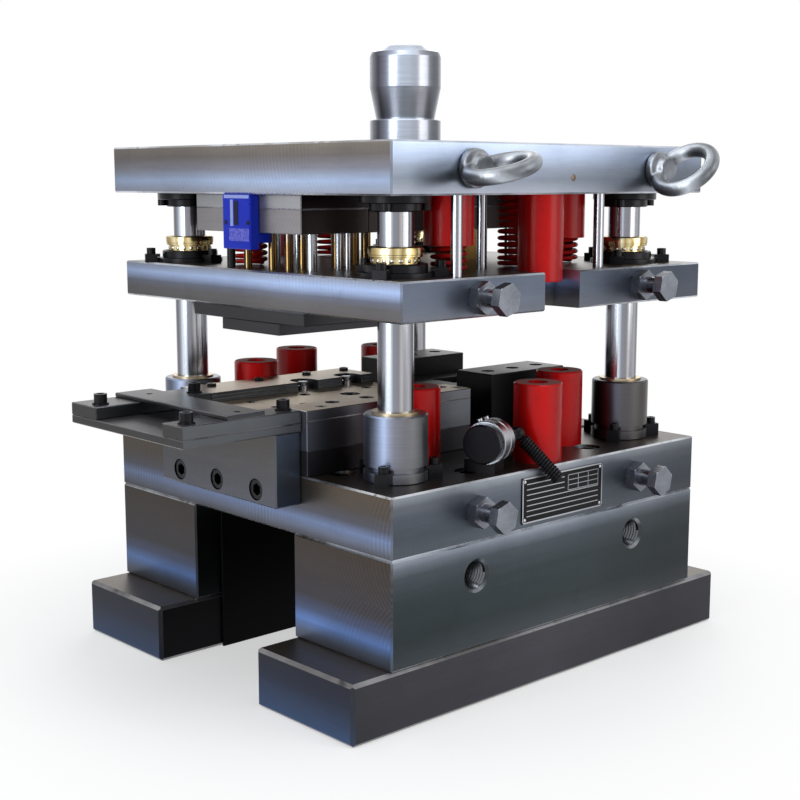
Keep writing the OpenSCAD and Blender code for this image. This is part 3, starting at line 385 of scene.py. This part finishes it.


# Posts, punches and shank
# Posts, punches, pins and bolts are cylindrically ground to a mirror; the shank is turned and polished.
# The bands along the cylinders are painted reflections of strip lights, fixed round each one.
def round_steel(name, bands, roughness, rings=0.0, tilt=0.0, oiled=None, foot=None):
    """Oiled is the brown of the pieces at the far end. Foot is (tone, low, high): what the steel takes on above
    the stripper plate, whole up to the height low and gone at high, in mm."""
    paint = Paint(name)
    cloud = paint.noise(12.0, 3)
    lathe_marks = paint.noise(900.0, 2, 0.6, (0.02, 0.02, 1.0))
    lit = 0.90 + 0.22 * cloud + (lathe_marks - 0.5) * (0.12 + rings)
    # The bands are painted reflections, fixed round the cylinder
    colour = paint.scaled(paint.banded(paint.around(tilt), bands), lit)
    along, height = paint.axes(paint.spot())[::2]
    if oiled:
        colour = paint.mixed(paint.clamped(along, 0.0, 0.1) * 0.75, colour, oiled)
    if foot:
        tone, low, high = foot
        above_stripper = paint.clamped(height, (STRIPPER_TOP - 7.5) * MM, (STRIPPER_TOP + 2.5) * MM)
        tinted = paint.clamped(height, high * MM, low * MM) * above_stripper
        colour = paint.mixed(tinted, colour, paint.shaded(colour, tone))
    return paint.set(Base_Color=colour, Metallic=0.95, Roughness=roughness + 0.08 * (cloud - 0.5),
                     Normal=paint.bumped(lathe_marks, 0.00004, 0.25 + rings))


post_bands = ((0.0, (0.50, 0.53, 0.60)), (0.045, (0.12, 0.12, 0.14)), (0.11, (0.14, 0.14, 0.16)),
              (0.20, (0.34, 0.36, 0.42)), (0.27, (0.72, 0.80, 0.90)), (0.36, (0.66, 0.74, 0.84)),
              (0.44, (0.26, 0.27, 0.31)), (0.58, (0.23, 0.23, 0.26)), (0.66, (0.46, 0.45, 0.46)),
              (0.74, (0.24, 0.24, 0.26)), (0.86, (0.38, 0.39, 0.42)), (0.93, (0.14, 0.14, 0.16)),
              (0.96, (0.12, 0.12, 0.14)), (1.0, (0.42, 0.43, 0.48)))
finish_node(round_steel("ground_post", post_bands, 0.16), "guide_posts", "guide_pins", "stripper_bolts",
            "lifter_1", "lifter_2")
# The punches' painted reflections are kept dark: painted shade inside the die
punch_bands = ((0.0, (0.02, 0.02, 0.02)), (0.22, (0.05, 0.045, 0.045)), (0.34, (0.42, 0.42, 0.46)),
               (0.44, (0.09, 0.08, 0.08)), (0.75, (0.05, 0.04, 0.035)), (0.86, (0.22, 0.18, 0.12)),
               (1.0, (0.03, 0.03, 0.03)))
finish_node(round_steel("punch_steel", punch_bands, 0.22, foot=((1.0, 0.66, 0.25), 408, 424)), "punches")
shank_bands = ((0.0, (0.38, 0.41, 0.48)), (0.05, (0.16, 0.17, 0.20)), (0.12, (0.06, 0.06, 0.075)),
               (0.24, (0.22, 0.24, 0.30)), (0.40, (0.48, 0.54, 0.66)), (0.54, (0.46, 0.52, 0.62)),
               (0.70, (0.32, 0.33, 0.37)), (0.90, (0.13, 0.14, 0.16)), (0.95, (0.12, 0.13, 0.15)),
               (1.0, (0.34, 0.36, 0.42)))
finish_node(round_steel("turned_shank", shank_bands, 0.24, 0.3), "shank")


# Guide bushes
# The lower bushes are turned steel with bronze linings, and are held to the shoe by toe clamps on their flanges.
# The ball bushes, collars, clamps and cap screws are blackened steel.
def black_oxide():
    paint = Paint("black_oxide")
    tone, rubbed_tone = (0.007, 0.007, 0.009), (0.035, 0.035, 0.045)
    cloud = paint.noise(40.0, 4)
    rub = paint.clamped(paint.noise(120.0, 5, 0.7), 0.58, 0.75)
    return paint.set(Base_Color=paint.mixed(rub * 0.5, tone, rubbed_tone), Metallic=0.6, Specular_IOR_Level=0.35,
                     Roughness=0.30 + 0.14 * (cloud - 0.5),
                     Normal=paint.bumped(paint.noise(500.0, 3), 0.00003, 0.4))


black = black_oxide()
finish_node(black, "bush_clamps", "stripper_bushes", "stripper_clamps", "post_clamps", "die_screws",
            "frame_screws", "table_screws", "counter_plunger")
bush_bands = ((0.0, (0.26, 0.28, 0.34)), (0.06, (0.09, 0.10, 0.13)), (0.16, (0.10, 0.12, 0.17)),
              (0.33, (0.32, 0.39, 0.56)), (0.48, (0.22, 0.23, 0.28)), (0.70, (0.15, 0.15, 0.16)),
              (0.93, (0.08, 0.085, 0.09)), (1.0, (0.22, 0.23, 0.26)))
finish_node(round_steel("turned_bush", bush_bands, 0.34, 0.25, oiled=(0.055, 0.048, 0.044)), "lower_bushes")


def brass(name, bands, roughness):
    paint = Paint(name)
    cloud = paint.noise(30.0, 4)
    lathe_marks = paint.noise(700.0, 2, 0.6, (0.02, 0.02, 1.0))
    # The bands are painted reflections round the cylinder
    colour = paint.scaled(paint.banded(paint.around(), bands), 0.85 + 0.3 * cloud)
    return paint.set(Base_Color=colour, Metallic=1.0, Roughness=roughness + 0.1 * (cloud - 0.5),
                     Normal=paint.bumped(lathe_marks, 0.00004, 0.4))


lining_bands = ((0.0, (0.40, 0.32, 0.20)), (0.3, (0.62, 0.54, 0.38)), (0.6, (0.50, 0.40, 0.24)),
                (1.0, (0.22, 0.15, 0.08)))
finish_node(brass("bronze_lining", lining_bands, 0.30), "bush_linings")


# Stops and sleeves
# The height stops and the sleeves round the springs are turned from steel bar and painted a glossy red.
# Each stop is bored for the screw that holds it. The tops are darker, browner and duller; painted shade and highlight
# run round the sides.
def gloss_red(name, tone, roughness):
    paint = Paint(name)
    cloud = paint.noise(18.0, 3)
    peel = paint.noise(260.0, 2)
    grime = paint.clamped(paint.noise(60.0, 5, 0.7), 0.60, 0.8)
    top = paint.clamped(abs(paint.facing()[2]), 0.8, 0.95)
    # Painted shade and highlight round the cylinder
    shade = paint.banded(paint.around(), ((0.0, 0.85), (0.07, 0.45), (0.2, 0.55), (0.36, 1.0), (0.62, 0.95),
                                          (0.85, 0.60), (0.93, 0.45), (1.0, 0.8)))
    colour = paint.shaded(paint.mixed(cloud, tone, tuple(0.78 * t for t in tone)), shade)
    colour = paint.mixed(grime * 0.35, colour, (0.05, 0.01, 0.008))
    colour = paint.mixed(top * (0.55 + 0.4 * paint.clamped(cloud, 0.3, 0.6)), colour, (0.10, 0.03, 0.022))
    return paint.set(Base_Color=colour, Roughness=roughness + 0.15 * (cloud - 0.5) + 0.6 * top, Coat_Weight=0.05,
                     Coat_Roughness=0.15, Specular_IOR_Level=0.15, Normal=paint.bumped(peel, 0.00004, 0.3))


finish_node(gloss_red("red_enamel", (0.66, 0.006, 0.006), 0.26), "lower_stops", "upper_stops", "spring_sleeves")


# Counter case, sensor head and plate blank
# The counter's case is a glossy blue moulding and the sensor's head a black one.
# The name plate's blank is black anodised sheet, riveted to the lower shoe.
def plastic(name, tone, roughness, speck=0.3):
    paint = Paint(name)
    cloud = paint.noise(25.0, 3)
    colour = paint.mixed(cloud * 0.4, tone, tuple(0.6 * t for t in tone))
    return paint.set(Base_Color=colour, Roughness=roughness + 0.1 * (cloud - 0.5), Specular_IOR_Level=0.12,
                     Normal=paint.bumped(paint.noise(900.0, 2), 0.00003, speck))


finish_node(plastic("blue_case", (0.010, 0.028, 0.46), 0.28), "counter_body")
finish_node(plastic("black_case", (0.005, 0.005, 0.008), 0.26), "sensor_head")
finish_node(plastic("anodised_plate", (0.004, 0.004, 0.005), 0.30), "nameplate")


# Die springs
# Six heavy springs of flattened wire, wound cold, ground flat at the ends and enamelled red.
# They stand on the stripper plate and push it away from the upper shoe.
DIE_X = 41


def on_die(x, y, z):
    """A point in mm from the middle of the die and from the floor. The die's middle lies a little along x."""
    return Vector((DIE_X + x, y, z)) * MM


def made(name, mesh, material, body, slot, *nodes, sharp=35):
    """Turns a bmesh into a piece that rides on a body and may replace nodes. Edges sharper than the angle in
    degrees stay crisp."""
    bmesh.ops.recalc_face_normals(mesh, faces=mesh.faces)
    for face in mesh.faces:
        face.smooth = True
    for edge in mesh.edges:
        edge.smooth = len(edge.link_faces) < 2 or edge.calc_face_angle(0) < radians(sharp)
    data = bpy.data.meshes.new(name)
    mesh.to_mesh(data)
    mesh.free()
    data.materials.append(material)
    piece = bpy.data.objects.new(name, data)
    bpy.context.collection.objects.link(piece)
    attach(piece, body)
    if nodes:
        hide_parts(*nodes)
    return piece


def wound(mesh, middle, radius, wire_w, wire_h, height, turns, steps=32, sides=12):
    """Winds a closed-ended coil of flattened wire, standing at the middle point, into the mesh."""
    section = bmesh.ops.create_circle(mesh, segments=sides, radius=0.5)["verts"]
    bmesh.ops.scale(mesh, verts=section, vec=(wire_w, wire_h, 1))
    bmesh.ops.rotate(mesh, verts=section, matrix=Matrix.Rotation(pi / 2, 3, "X"))
    bmesh.ops.translate(mesh, verts=section, vec=middle + Vector((radius - wire_w / 2, 0, wire_h / 2)))
    end = section + list(dict.fromkeys(edge for vert in section for edge in vert.link_edges))
    pitch = (height - 3 * wire_h) / (turns - 2)
    for count, rise in ((1, wire_h), (turns - 2, pitch), (1, wire_h)):
        end = bmesh.ops.spin(mesh, geom=end, cent=middle, axis=(0, 0, 1), dvec=(0, 0, rise / steps),
                             angle=2 * pi * count, steps=count * steps)["geom_last"]
    bmesh.ops.holes_fill(mesh, edges=[edge for edge in mesh.edges if edge.is_boundary])


spring_seat, spring_h, spring_travel = STRIPPER_TOP + 0.1, 94.3, 24.7
spring_r, spring_wire_w, spring_wire_h, spring_turns = 16.5, 5.5, 4.2, 15
spring_places = ((-98, -162), (104, -119), (16, -136), (-150, 60), (104, 119), (16, 136))
spring_red = gloss_red("spring_red", (0.52, 0.008, 0.008), 0.30)
for number, (x, y) in enumerate(spring_places, 1):
    seat = on_die(x, y, spring_seat)
    coil = bmesh.new()
    wound(coil, seat, spring_r * MM, spring_wire_w * MM, spring_wire_h * MM, spring_h * MM, spring_turns)
    spring = made("die_spring_%d" % number, coil, spring_red, "stripper_set", "red_paint", "stripper_springs")
    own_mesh(spring)


# Lifter springs
# A small enamelled spring in a pocket of the support plate holds each stock lifter up,
# and gives way when the strip is pressed down.
lifter_y, lifter_seat, lifter_spring_h, lifter_travel = 54, 213.3, 28.4, 7
lifter_r, lifter_wire_w, lifter_wire_h, lifter_turns = 6, 1.9, 1.5, 8
for number, x in ((1, -92), (2, -34)):
    seat = on_die(x, lifter_y, lifter_seat)
    coil = bmesh.new()
    wound(coil, seat, lifter_r * MM, lifter_wire_w * MM, lifter_wire_h * MM, lifter_spring_h * MM, lifter_turns,
          steps=24, sides=8)
    spring = made("lifter_coil_%d" % number, coil, spring_red, "lower_set", "red_paint",
                  "lifter_spring_%d" % number)
    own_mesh(spring)


# Ball cages
# Each is a turned brass sleeve with a rim round its top and two rows of steel balls, which are snapped into it
# and roll between post and bush.
def turned(mesh, profile, place, segments=64):
    """Adds a turned shape: the profile's (radius, height) points in mm, round the z axis of the placing matrix."""
    for (r1, z1), (r2, z2) in zip(profile, profile[1:]):
        middle = Matrix.Translation((0, 0, (z1 + z2) / 2 * MM))
        bmesh.ops.create_cone(mesh, cap_ends=False, segments=segments, radius1=r1 * MM, radius2=r2 * MM,
                              depth=(z2 - z1) * MM, matrix=place @ middle)
    bmesh.ops.remove_doubles(mesh, verts=mesh.verts, dist=0.000002)


# The sleeve's and the balls' bands are painted reflections
cage_bands = ((0.0, (0.72, 0.60, 0.32)), (0.05, (0.20, 0.14, 0.05)), (0.14, (0.42, 0.31, 0.12)),
              (0.24, (0.86, 0.76, 0.48)), (0.31, (0.46, 0.36, 0.16)), (0.38, (0.90, 0.82, 0.58)),
              (0.46, (0.40, 0.30, 0.12)), (0.55, (0.82, 0.70, 0.38)), (0.63, (0.36, 0.26, 0.10)),
              (0.72, (0.86, 0.74, 0.42)), (0.80, (0.30, 0.20, 0.07)), (0.90, (0.66, 0.52, 0.26)),
              (0.96, (0.20, 0.14, 0.05)), (1.0, (0.60, 0.48, 0.22)))
cage_brass = brass("cage_brass", cage_bands, 0.20)
ball_bands = ((0.0, (0.10, 0.10, 0.10)), (0.3, (0.85, 0.84, 0.80)), (0.5, (0.5, 0.48, 0.42)),
              (1.0, (0.14, 0.12, 0.10)))
ball_steel = round_steel("ball_steel", ball_bands, 0.12)
post_out, cage_top = 156, 411.5
cage_profile = ((16.6, -57), (21.0, -57), (21.4, -56.6), (21.4, -9), (23.2, -9), (23.6, -8.6), (23.6, -7.0),
                (24.0, -6.6), (24.0, -1.2), (23.6, -0.6), (22.6, 0), (17.2, 0), (16.6, -0.6), (16.6, -57))
ball_r, ball_ring_r, row_balls, first_row, row_pitch = 2.97, 19, 18, -12, -6
for number, (x, y) in enumerate(((-1, -1), (1, -1), (-1, 1), (1, 1)), 1):
    name = "ball_cage_%d" % number
    top = Matrix.Translation(on_die(x * post_out, y * post_out, cage_top))
    sleeve = bmesh.new()
    turned(sleeve, cage_profile, top)
    made(name + "_sleeve", sleeve, cage_brass, name, "brass_cage", name)
    balls = bmesh.new()
    for row in range(2):
        for k in range(row_balls):
            turn = Matrix.Rotation(2 * pi * (k + row / 2) / row_balls, 4, "Z")
            out = Matrix.Translation(Vector((ball_ring_r, 0, first_row + row_pitch * row)) * MM)
            bmesh.ops.create_uvsphere(balls, u_segments=20, v_segments=12, radius=ball_r * MM,
                                      matrix=top @ turn @ out)
    made(name + "_balls", balls, ball_steel, name, "bright_steel", name)


# Eyebolts
# Drop forgings: a threaded stem, a round collar and a neck that flows into the ring. They are screwed into the
# upper shoe's edges, galvanised and mottled.
def forging(mesh, grain, rounds):
    """Skins the mesh at the size of the grain and eases it, so that its forms flow into each other."""
    rough = bpy.data.meshes.new("rough")
    mesh.to_mesh(rough)
    mesh.free()
    block = bpy.data.objects.new("rough", rough)
    bpy.context.collection.objects.link(block)
    skin = block.modifiers.new("skin", "REMESH")
    skin.mode = "VOXEL"
    skin.voxel_size = grain
    ease = block.modifiers.new("ease", "SMOOTH")
    ease.factor = 0.5
    ease.iterations = rounds
    smooth = bmesh.new()
    smooth.from_mesh(block.evaluated_get(bpy.context.evaluated_depsgraph_get()).to_mesh())
    bpy.data.objects.remove(block)
    bpy.data.meshes.remove(rough)
    return smooth


def joined(mesh, part):
    """Adds the part to the mesh, and ends the part."""
    spare = bpy.data.meshes.new("part")
    part.to_mesh(spare)
    part.free()
    mesh.from_mesh(spare)
    bpy.data.meshes.remove(spare)


def on_side(side, x, height, turn=0.0):
    """Stands the z axis out of the front (side -1) or rear (side 1) face of a shoe, and turns it by degrees."""
    out = Matrix.Translation(on_die(x, side * SHOE_HALF, height)) @ Matrix.Rotation(side * -pi / 2, 4, "X")
    return out @ Matrix.Rotation(radians(turn), 4, "Z")


def corner(side, x):
    return "%s_%s" % ("front" if side < 0 else "rear", "left" if x < 0 else "right")


def forged_steel(name, tone, roughness, pale):
    paint = Paint(name)
    cloud = paint.noise(70.0, 4, 0.6)
    blotch = paint.clamped(paint.noise(26.0, 5, 0.7), 0.35, 0.65)
    pits = paint.noise(380.0, 4, 0.6)
    # Painted shade and highlight round the forging; pale sets the highlight's strength
    shade = paint.banded(paint.around(0.55), ((0.0, 0.30), (0.18, 0.55), (0.32, 1.7 * pale), (0.44, 1.2),
                                              (0.56, 0.55), (0.75, 0.35), (0.9, 0.8), (1.0, 1.1)))
    pale_tone, dark_tone = tuple(1.25 * t for t in tone), tuple(0.72 * t for t in tone)
    colour = paint.shaded(paint.mixed(blotch, pale_tone, dark_tone), shade)
    return paint.set(Base_Color=colour, Metallic=0.85, Roughness=roughness + 0.2 * (cloud - 0.5),
                     Normal=paint.bumped(pits + cloud, 0.00014, 0.5))


galvanised = forged_steel("galvanised", (0.27, 0.29, 0.32), 0.42, 1.1)
eye_height, eye_r, eye_wire_r, eye_out = 477.5, 27, 7, 34.5
collar_profile = ((0, 0.2), (16.4, 0.2), (17, 1.0), (17, 7.0), (15.6, 8.6), (12.5, 9.6), (11.0, 17.0), (0, 17.0))
for side in (-1, 1):
    for x, turn in ((-118, 17), (134, 43)):
        seat = on_side(side, x, eye_height, -side * turn)
        forged = bmesh.new()
        turned(forged, collar_profile, seat, 48)
        ring = bmesh.new()
        section = bmesh.ops.create_circle(ring, segments=32, radius=eye_wire_r * MM,
                                          matrix=Matrix.Translation((eye_r * MM, 0, 0)))["verts"]
        loop = section + list(dict.fromkeys(edge for vert in section for edge in vert.link_edges))
        bmesh.ops.spin(ring, geom=loop, cent=(0, 0, 0), axis=(0, 1, 0), angle=2 * pi, steps=64, use_merge=True)
        bmesh.ops.transform(ring, verts=ring.verts, matrix=seat @ Matrix.Translation((0, 0, eye_out * MM)))
        joined(forged, ring)
        made("eyebolt_" + corner(side, x), forging(forged, 1.2 * MM, 5), galvanised, "upper_set", "zinc", "eyebolts")


# Lifting bolts
# Forged hexagon bolts with a lock nut against the plate's edge: the heads have a turned washer face,
# and the shanks between head and nut are bright and bare.
def hexagon(mesh, span, across, place):
    """Adds a hexagon between two heights in mm, across its corners in mm, with its corners turned down."""
    low, high = span
    radius, chamfer = across / 2, 0.035 * across
    prism = bmesh.ops.create_cone(mesh, cap_ends=True, segments=6, radius1=radius * MM, radius2=radius * MM,
                                  depth=(high - low) * MM, matrix=Matrix.Translation((0, 0, (low + high) / 2 * MM)))
    verts = prism["verts"]
    for k in range(36):
        turn = Matrix.Rotation(2 * pi * (k + 0.5) / 36, 3, "Z")
        for z, up in ((high, 1), (low, -1)):
            edges = dict.fromkeys(edge for vert in verts for edge in vert.link_edges)
            faces = dict.fromkeys(face for vert in verts for face in vert.link_faces)
            cut = turn @ Vector((radius - chamfer, 0, 0)) * MM + Vector((0, 0, z * MM))
            sliced = bmesh.ops.bisect_plane(mesh, geom=[*verts, *edges, *faces], plane_co=cut,
                                            plane_no=turn @ Vector((0.42, 0, up)).normalized(), clear_outer=True)
            verts = [part for part in sliced["geom"] if isinstance(part, bmesh.types.BMVert) and part.is_valid]
            rim = [part for part in sliced["geom_cut"] if isinstance(part, bmesh.types.BMEdge)]
            if rim:
                bmesh.ops.contextual_create(mesh, geom=rim)
    bmesh.ops.transform(mesh, verts=verts, matrix=place)


bolt_steel = forged_steel("oiled_bolt", (0.30, 0.32, 0.37), 0.27, 1.2)
# The shanks' bands are painted reflections
bolt_bands = ((0.0, (0.06, 0.06, 0.07)), (0.25, (0.25, 0.26, 0.30)), (0.36, (0.75, 0.80, 0.90)),
              (0.46, (0.22, 0.23, 0.26)), (0.72, (0.12, 0.12, 0.14)), (1.0, (0.30, 0.30, 0.34)))
shank_steel = round_steel("bolt_shank", bolt_bands, 0.20, tilt=0.6)
lift_places = (-108, 113)
bolt_corners, nut_span, head_span, nut_turn, head_turn = 29, (0.1, 10.5), (26.6, 36), -6, -12
bare_shank = ((7.6, 10), (8.0, 10.4), (8.0, 26.9), (0, 27))
washer_face = ((8.6, 10.6), (10.4, 10.4), (10.4, 10.2))
for name, height, body, node in (("shoe", 179.5, "lower_set", "shoe_lift_bolts"),
                                 ("stripper", 368.0, "stripper_set", "stripper_lift_bolts")):
    heads, shanks = bmesh.new(), bmesh.new()
    for side in (-1, 1):
        for x in lift_places:
            hexagon(heads, nut_span, bolt_corners, on_side(side, x, height, nut_turn))
            hexagon(heads, head_span, bolt_corners, on_side(side, x, height, head_turn))
            turned(shanks, bare_shank, on_side(side, x, height), 32)
            turned(shanks, washer_face, on_side(side, x, height), 32)
    made(name + "_bolt_heads", heads, bolt_steel, body, "zinc", node, sharp=20)
    made(name + "_bolt_shanks", shanks, shank_steel, body, "zinc", node)


# Sensor clamp
# A split steel band with two clamping screws holds the sensor's round head.
# It stands on a small blackened block that is screwed to the shoe.
# The band's painted reflections are the posts', a little dimmer
satin_bands = tuple((place, tuple(0.9 * t for t in tone)) for place, tone in post_bands)
sensor_x, sensor_y, axle_z, block_z = -92, -198, 235, 213
sensor_turn = Matrix.Rotation(radians(20), 4, "Z")
axle = Matrix.Translation(on_die(sensor_x, sensor_y, axle_z)) @ sensor_turn @ Matrix.Rotation(pi / 2, 4, "Y")
band_profile = ((18.2, 10), (19.4, 10), (20, 10.6), (20, 19.6), (19.4, 20.2), (19.4, 22.8), (20, 23.4), (20, 31.4),
                (19.4, 32), (16.2, 32), (16.2, 10), (18.2, 10))
band = bmesh.new()
turned(band, band_profile, axle)
split_turn = Matrix.Rotation(radians(160), 4, "Z") @ Matrix.Rotation(pi / 2, 4, "Y")
band_screw = ((0, 22.6), (2.2, 22.6), (2.6, 22.2), (2.6, 17))
for height in (14, 28):
    turned(band, band_screw, axle @ Matrix.Translation((0, 0, height * MM)) @ split_turn, 20)
satin_steel = round_steel("satin_band", satin_bands, 0.26, tilt=0.5)
made("sensor_band", band, satin_steel, "lower_set", "bright_steel", "sensor_clamp")
block_out, block_size = Vector((21.5, 6, 0)) * MM, Vector((21, 30, 12)) * MM
block_place = Matrix.Translation(on_die(sensor_x, sensor_y, block_z)) @ sensor_turn @ Matrix.Translation(block_out)
stand = bmesh.new()
bmesh.ops.create_cube(stand, size=1, matrix=block_place @ Matrix.Diagonal((*block_size, 1)))
made("sensor_stand", stand, black, "lower_set", "bright_steel", "sensor_clamp")


# Lifting threads
# The four lifting holes in the risers are drilled blind and tapped: a coarse thread runs down each,
# cut in the riser's own steel.
tapped = plain_steel("tapped_steel", (0.16, 0.17, 0.19), (0.16, 0.17, 0.19), 0.30, 0.0)
riser_foot, riser_h, hole_up, mouth_in = 55, 97, 0.68, 2.6
thread_r, thread_w, thread_h, thread_depth, thread_turns = 14.2, 2.2, 3.0, 44, 13
for side in (-1, 1):
    for x in lift_places:
        mouth = on_die(x, side * (SHOE_HALF - mouth_in), riser_foot + hole_up * riser_h)
        thread = bmesh.new()
        wound(thread, Vector((0, 0, 0)), thread_r * MM, thread_w * MM, thread_h * MM, thread_depth * MM, thread_turns,
              steps=40, sides=4)
        bmesh.ops.transform(thread, verts=thread.verts,
                            matrix=Matrix.Translation(mouth) @ Matrix.Rotation(side * pi / 2, 4, "X"))
        made("lift_thread_" + corner(side, x), thread, tapped, "lower_set", "shoe_steel", sharp=20)


# Name plate
# The plate has a bare raised rim, ruled lines and a small blank grid, pressed up from the sheet and rubbed bright.
# Four rivets hold it to the lower shoe.
def bar(mesh, low, high):
    """Adds a box between two corners in mm."""
    low, high = Vector(low) * MM, Vector(high) * MM
    bmesh.ops.create_cube(mesh, size=1, matrix=Matrix.Translation((low + high) / 2)
                          @ Matrix.Diagonal((*(high - low), 1)))


bare_metal = plain_steel("bare_rim", (0.42, 0.43, 0.46), (0.5, 0.5, 0.52), 0.32, 0.0)
plate_left, plate_right, plate_foot, plate_top, plate_face = -9.5, 103.5, 157.5, 200.0, -211.0
rim_w, rim_proud, line_proud, sunk = 1.3, 0.35, 0.15, 0.1
ruling = bmesh.new()
for x0, z0, x1, z1 in ((plate_left, plate_foot, plate_right, plate_foot + rim_w),
                       (plate_left, plate_top - rim_w, plate_right, plate_top),
                       (plate_left, plate_foot, plate_left + rim_w, plate_top),
                       (plate_right - rim_w, plate_foot, plate_right, plate_top)):
    bar(ruling, (x0, plate_face - rim_proud, z0), (x1, plate_face + sunk, z1))
lines, long_lines, short_line, line_in, line_pitch, line_h = 7, 4, 58, 6, 5, 0.8
for line in range(lines):
    z = plate_foot + line_in + line_pitch * line
    line_end = plate_right - line_in if line < long_lines else plate_left + short_line
    bar(ruling, (plate_left + line_in, plate_face - line_proud, z), (line_end, plate_face + sunk, z + line_h))
grid_left, grid_right, grid_foot, grid_top, grid_w = plate_right - 50, plate_right - 6.5, 180, 195, 0.6
for k in range(4):
    x, z = grid_left + 14.5 * k, grid_foot + 4.8 * k
    bar(ruling, (x, plate_face - line_proud, grid_foot), (x + grid_w, plate_face + sunk, grid_top))
    bar(ruling, (grid_left, plate_face - line_proud, z), (grid_right, plate_face + sunk, z + grid_w))
rivet_in, rivet_profile = 3.4, ((0, 1.1), (0.9, 0.9), (1.6, 0.3), (1.7, -0.2))
for x in (plate_left + rivet_in, plate_right - rivet_in):
    for z in (plate_foot + rivet_in, plate_top - rivet_in):
        turned(ruling, rivet_profile, Matrix.Translation(Vector((x, plate_face, z)) * MM)
               @ Matrix.Rotation(pi / 2, 4, "X"), 20)
made("plate_rim", ruling, bare_metal, "lower_set", "black_plate")

# Coil guard
# A closely wound black wire guard protects the sensor's lead where it bends down over the shoe's edge.
# Its end is pushed into the sensor's head, and the lead runs inside it.
guard_top, guard_end = Vector((-42, -196, 239)), Vector((-14, -223, 196))
in_head = 13.5 / 2 + 0.3
guard_r, guard_wire, guard_turns, lead_r = 6.6, 2.2, 17, 4.3
run = guard_end - guard_top
guard_l = run.length - in_head
guard = bmesh.new()
wound(guard, Vector((0, 0, 0)), guard_r * MM, guard_wire * MM, guard_wire * MM, guard_l * MM, guard_turns,
      steps=28, sides=10)
bmesh.ops.create_cone(guard, cap_ends=True, segments=24, radius1=lead_r * MM, radius2=lead_r * MM,
                      depth=(guard_l - 1) * MM, matrix=Matrix.Translation((0, 0, guard_l / 2 * MM)))
guard_start = on_die(*(guard_top + run.normalized() * in_head))
bmesh.ops.transform(guard, verts=guard.verts,
                    matrix=Matrix.Translation(guard_start) @ run.to_track_quat("Z", "Y").to_matrix().to_4x4())
made("lead_guard", guard, plastic("guard_black", (0.007, 0.007, 0.009), 0.18, 0.1), "lower_set", "black_oxide",
     "sensor_guard")

# Counter front
# The case has a pale top strip, which is a painted highlight along its top edge, a pale sight bar beside a dark slot,
# two screws and a grained panel, all thin mouldings that are pressed into its front.
counter_front, counter_back = -169.0, -168.8
window = bmesh.new()
# The top strip is a painted highlight along the case's top edge
bar(window, (counter_front - 0.3, -19, 451.2), (counter_back, 19, 454.2))
bar(window, (counter_front - 0.5, 5.0, 426), (counter_back, 9.2, 450))
made("counter_window", window, plastic("pale_window", (0.30, 0.36, 0.72), 0.25), "upper_set", "blue_plastic")
slot = bmesh.new()
bar(slot, (counter_front - 0.3, -2.4, 427), (counter_back, 3.6, 449))
case_screw, case_screw_z = ((0, 0.4), (2.0, 0.4), (2.3, 0.1), (2.3, -0.2)), 429.3
for y in (16.6, -17.0):
    turned(slot, case_screw, Matrix.Translation(Vector((counter_front, y, case_screw_z)) * MM)
           @ Matrix.Rotation(-pi / 2, 4, "Y"), 24)
made("counter_slot", slot, plastic("counter_black", (0.008, 0.008, 0.02), 0.3), "upper_set", "black_plastic")
panel = bmesh.new()
bar(panel, (counter_front - 0.35, -18.6, 412.5), (counter_back, 11.5, 424))
grained = Paint("grained_panel")
grained_tone = grained.mixed(grained.clamped(grained.noise(420.0, 4, 0.7), 0.42, 0.6), (0.02, 0.035, 0.38),
                             (0.14, 0.14, 0.62))
made("counter_panel", panel, grained.set(Base_Color=grained_tone, Roughness=0.4), "upper_set", "blue_plastic")

# Plate screws
# Eight blackened cap screws hold the punch plates to the upper shoe.
# Their heads, with hexagon sockets, lie in the counterbores of its top.
head_r, head_h, key_r, key_floor, counterbore = 7.5, 10, 4.9, 4.5, 488
screw_places = ((-188, -68), (-60, -66), (40, -66), (118, -66), (-188, 68), (-60, 66), (10, 66), (118, 66))
screws = bmesh.new()
for x, y in screw_places:
    head = bmesh.new()
    turned(head, ((head_r, 0), (head_r, head_h - 0.8), (head_r - 0.7, head_h)), Matrix.Identity(4), 48)
    turned(head, ((key_r, head_h), (key_r, key_floor), (0, key_floor)), Matrix.Identity(4), 6)
    rims = [e for e in head.edges if e.is_boundary and all(abs(v.co.z - head_h * MM) < 0.000001 for v in e.verts)]
    bmesh.ops.bridge_loops(head, edges=rims)
    bmesh.ops.translate(head, verts=head.verts, vec=on_die(x, y, counterbore))
    joined(screws, head)
made("plate_screws", screws, black, "upper_set", "black_oxide")

# Shoe plug
# A brown steel plug, driven in flush with a low dome, closes a drilled hole in the front edge of the upper shoe.
brown_plug = plain_steel("brown_plug", (0.16, 0.12, 0.09), (0.2, 0.15, 0.12), 0.45, 0.0)
plug_spot = Vector((54.2, -SHOE_HALF, 469.7)) * MM
plug = bmesh.new()
turned(plug, ((0, 0.5), (2.6, 0.4), (3.2, 0.1), (3.3, -0.3)),
       Matrix.Translation(plug_spot) @ Matrix.Rotation(pi / 2, 4, "X"), 28)
made("shoe_plug", plug, brown_plug, "upper_set", "dark_steel")
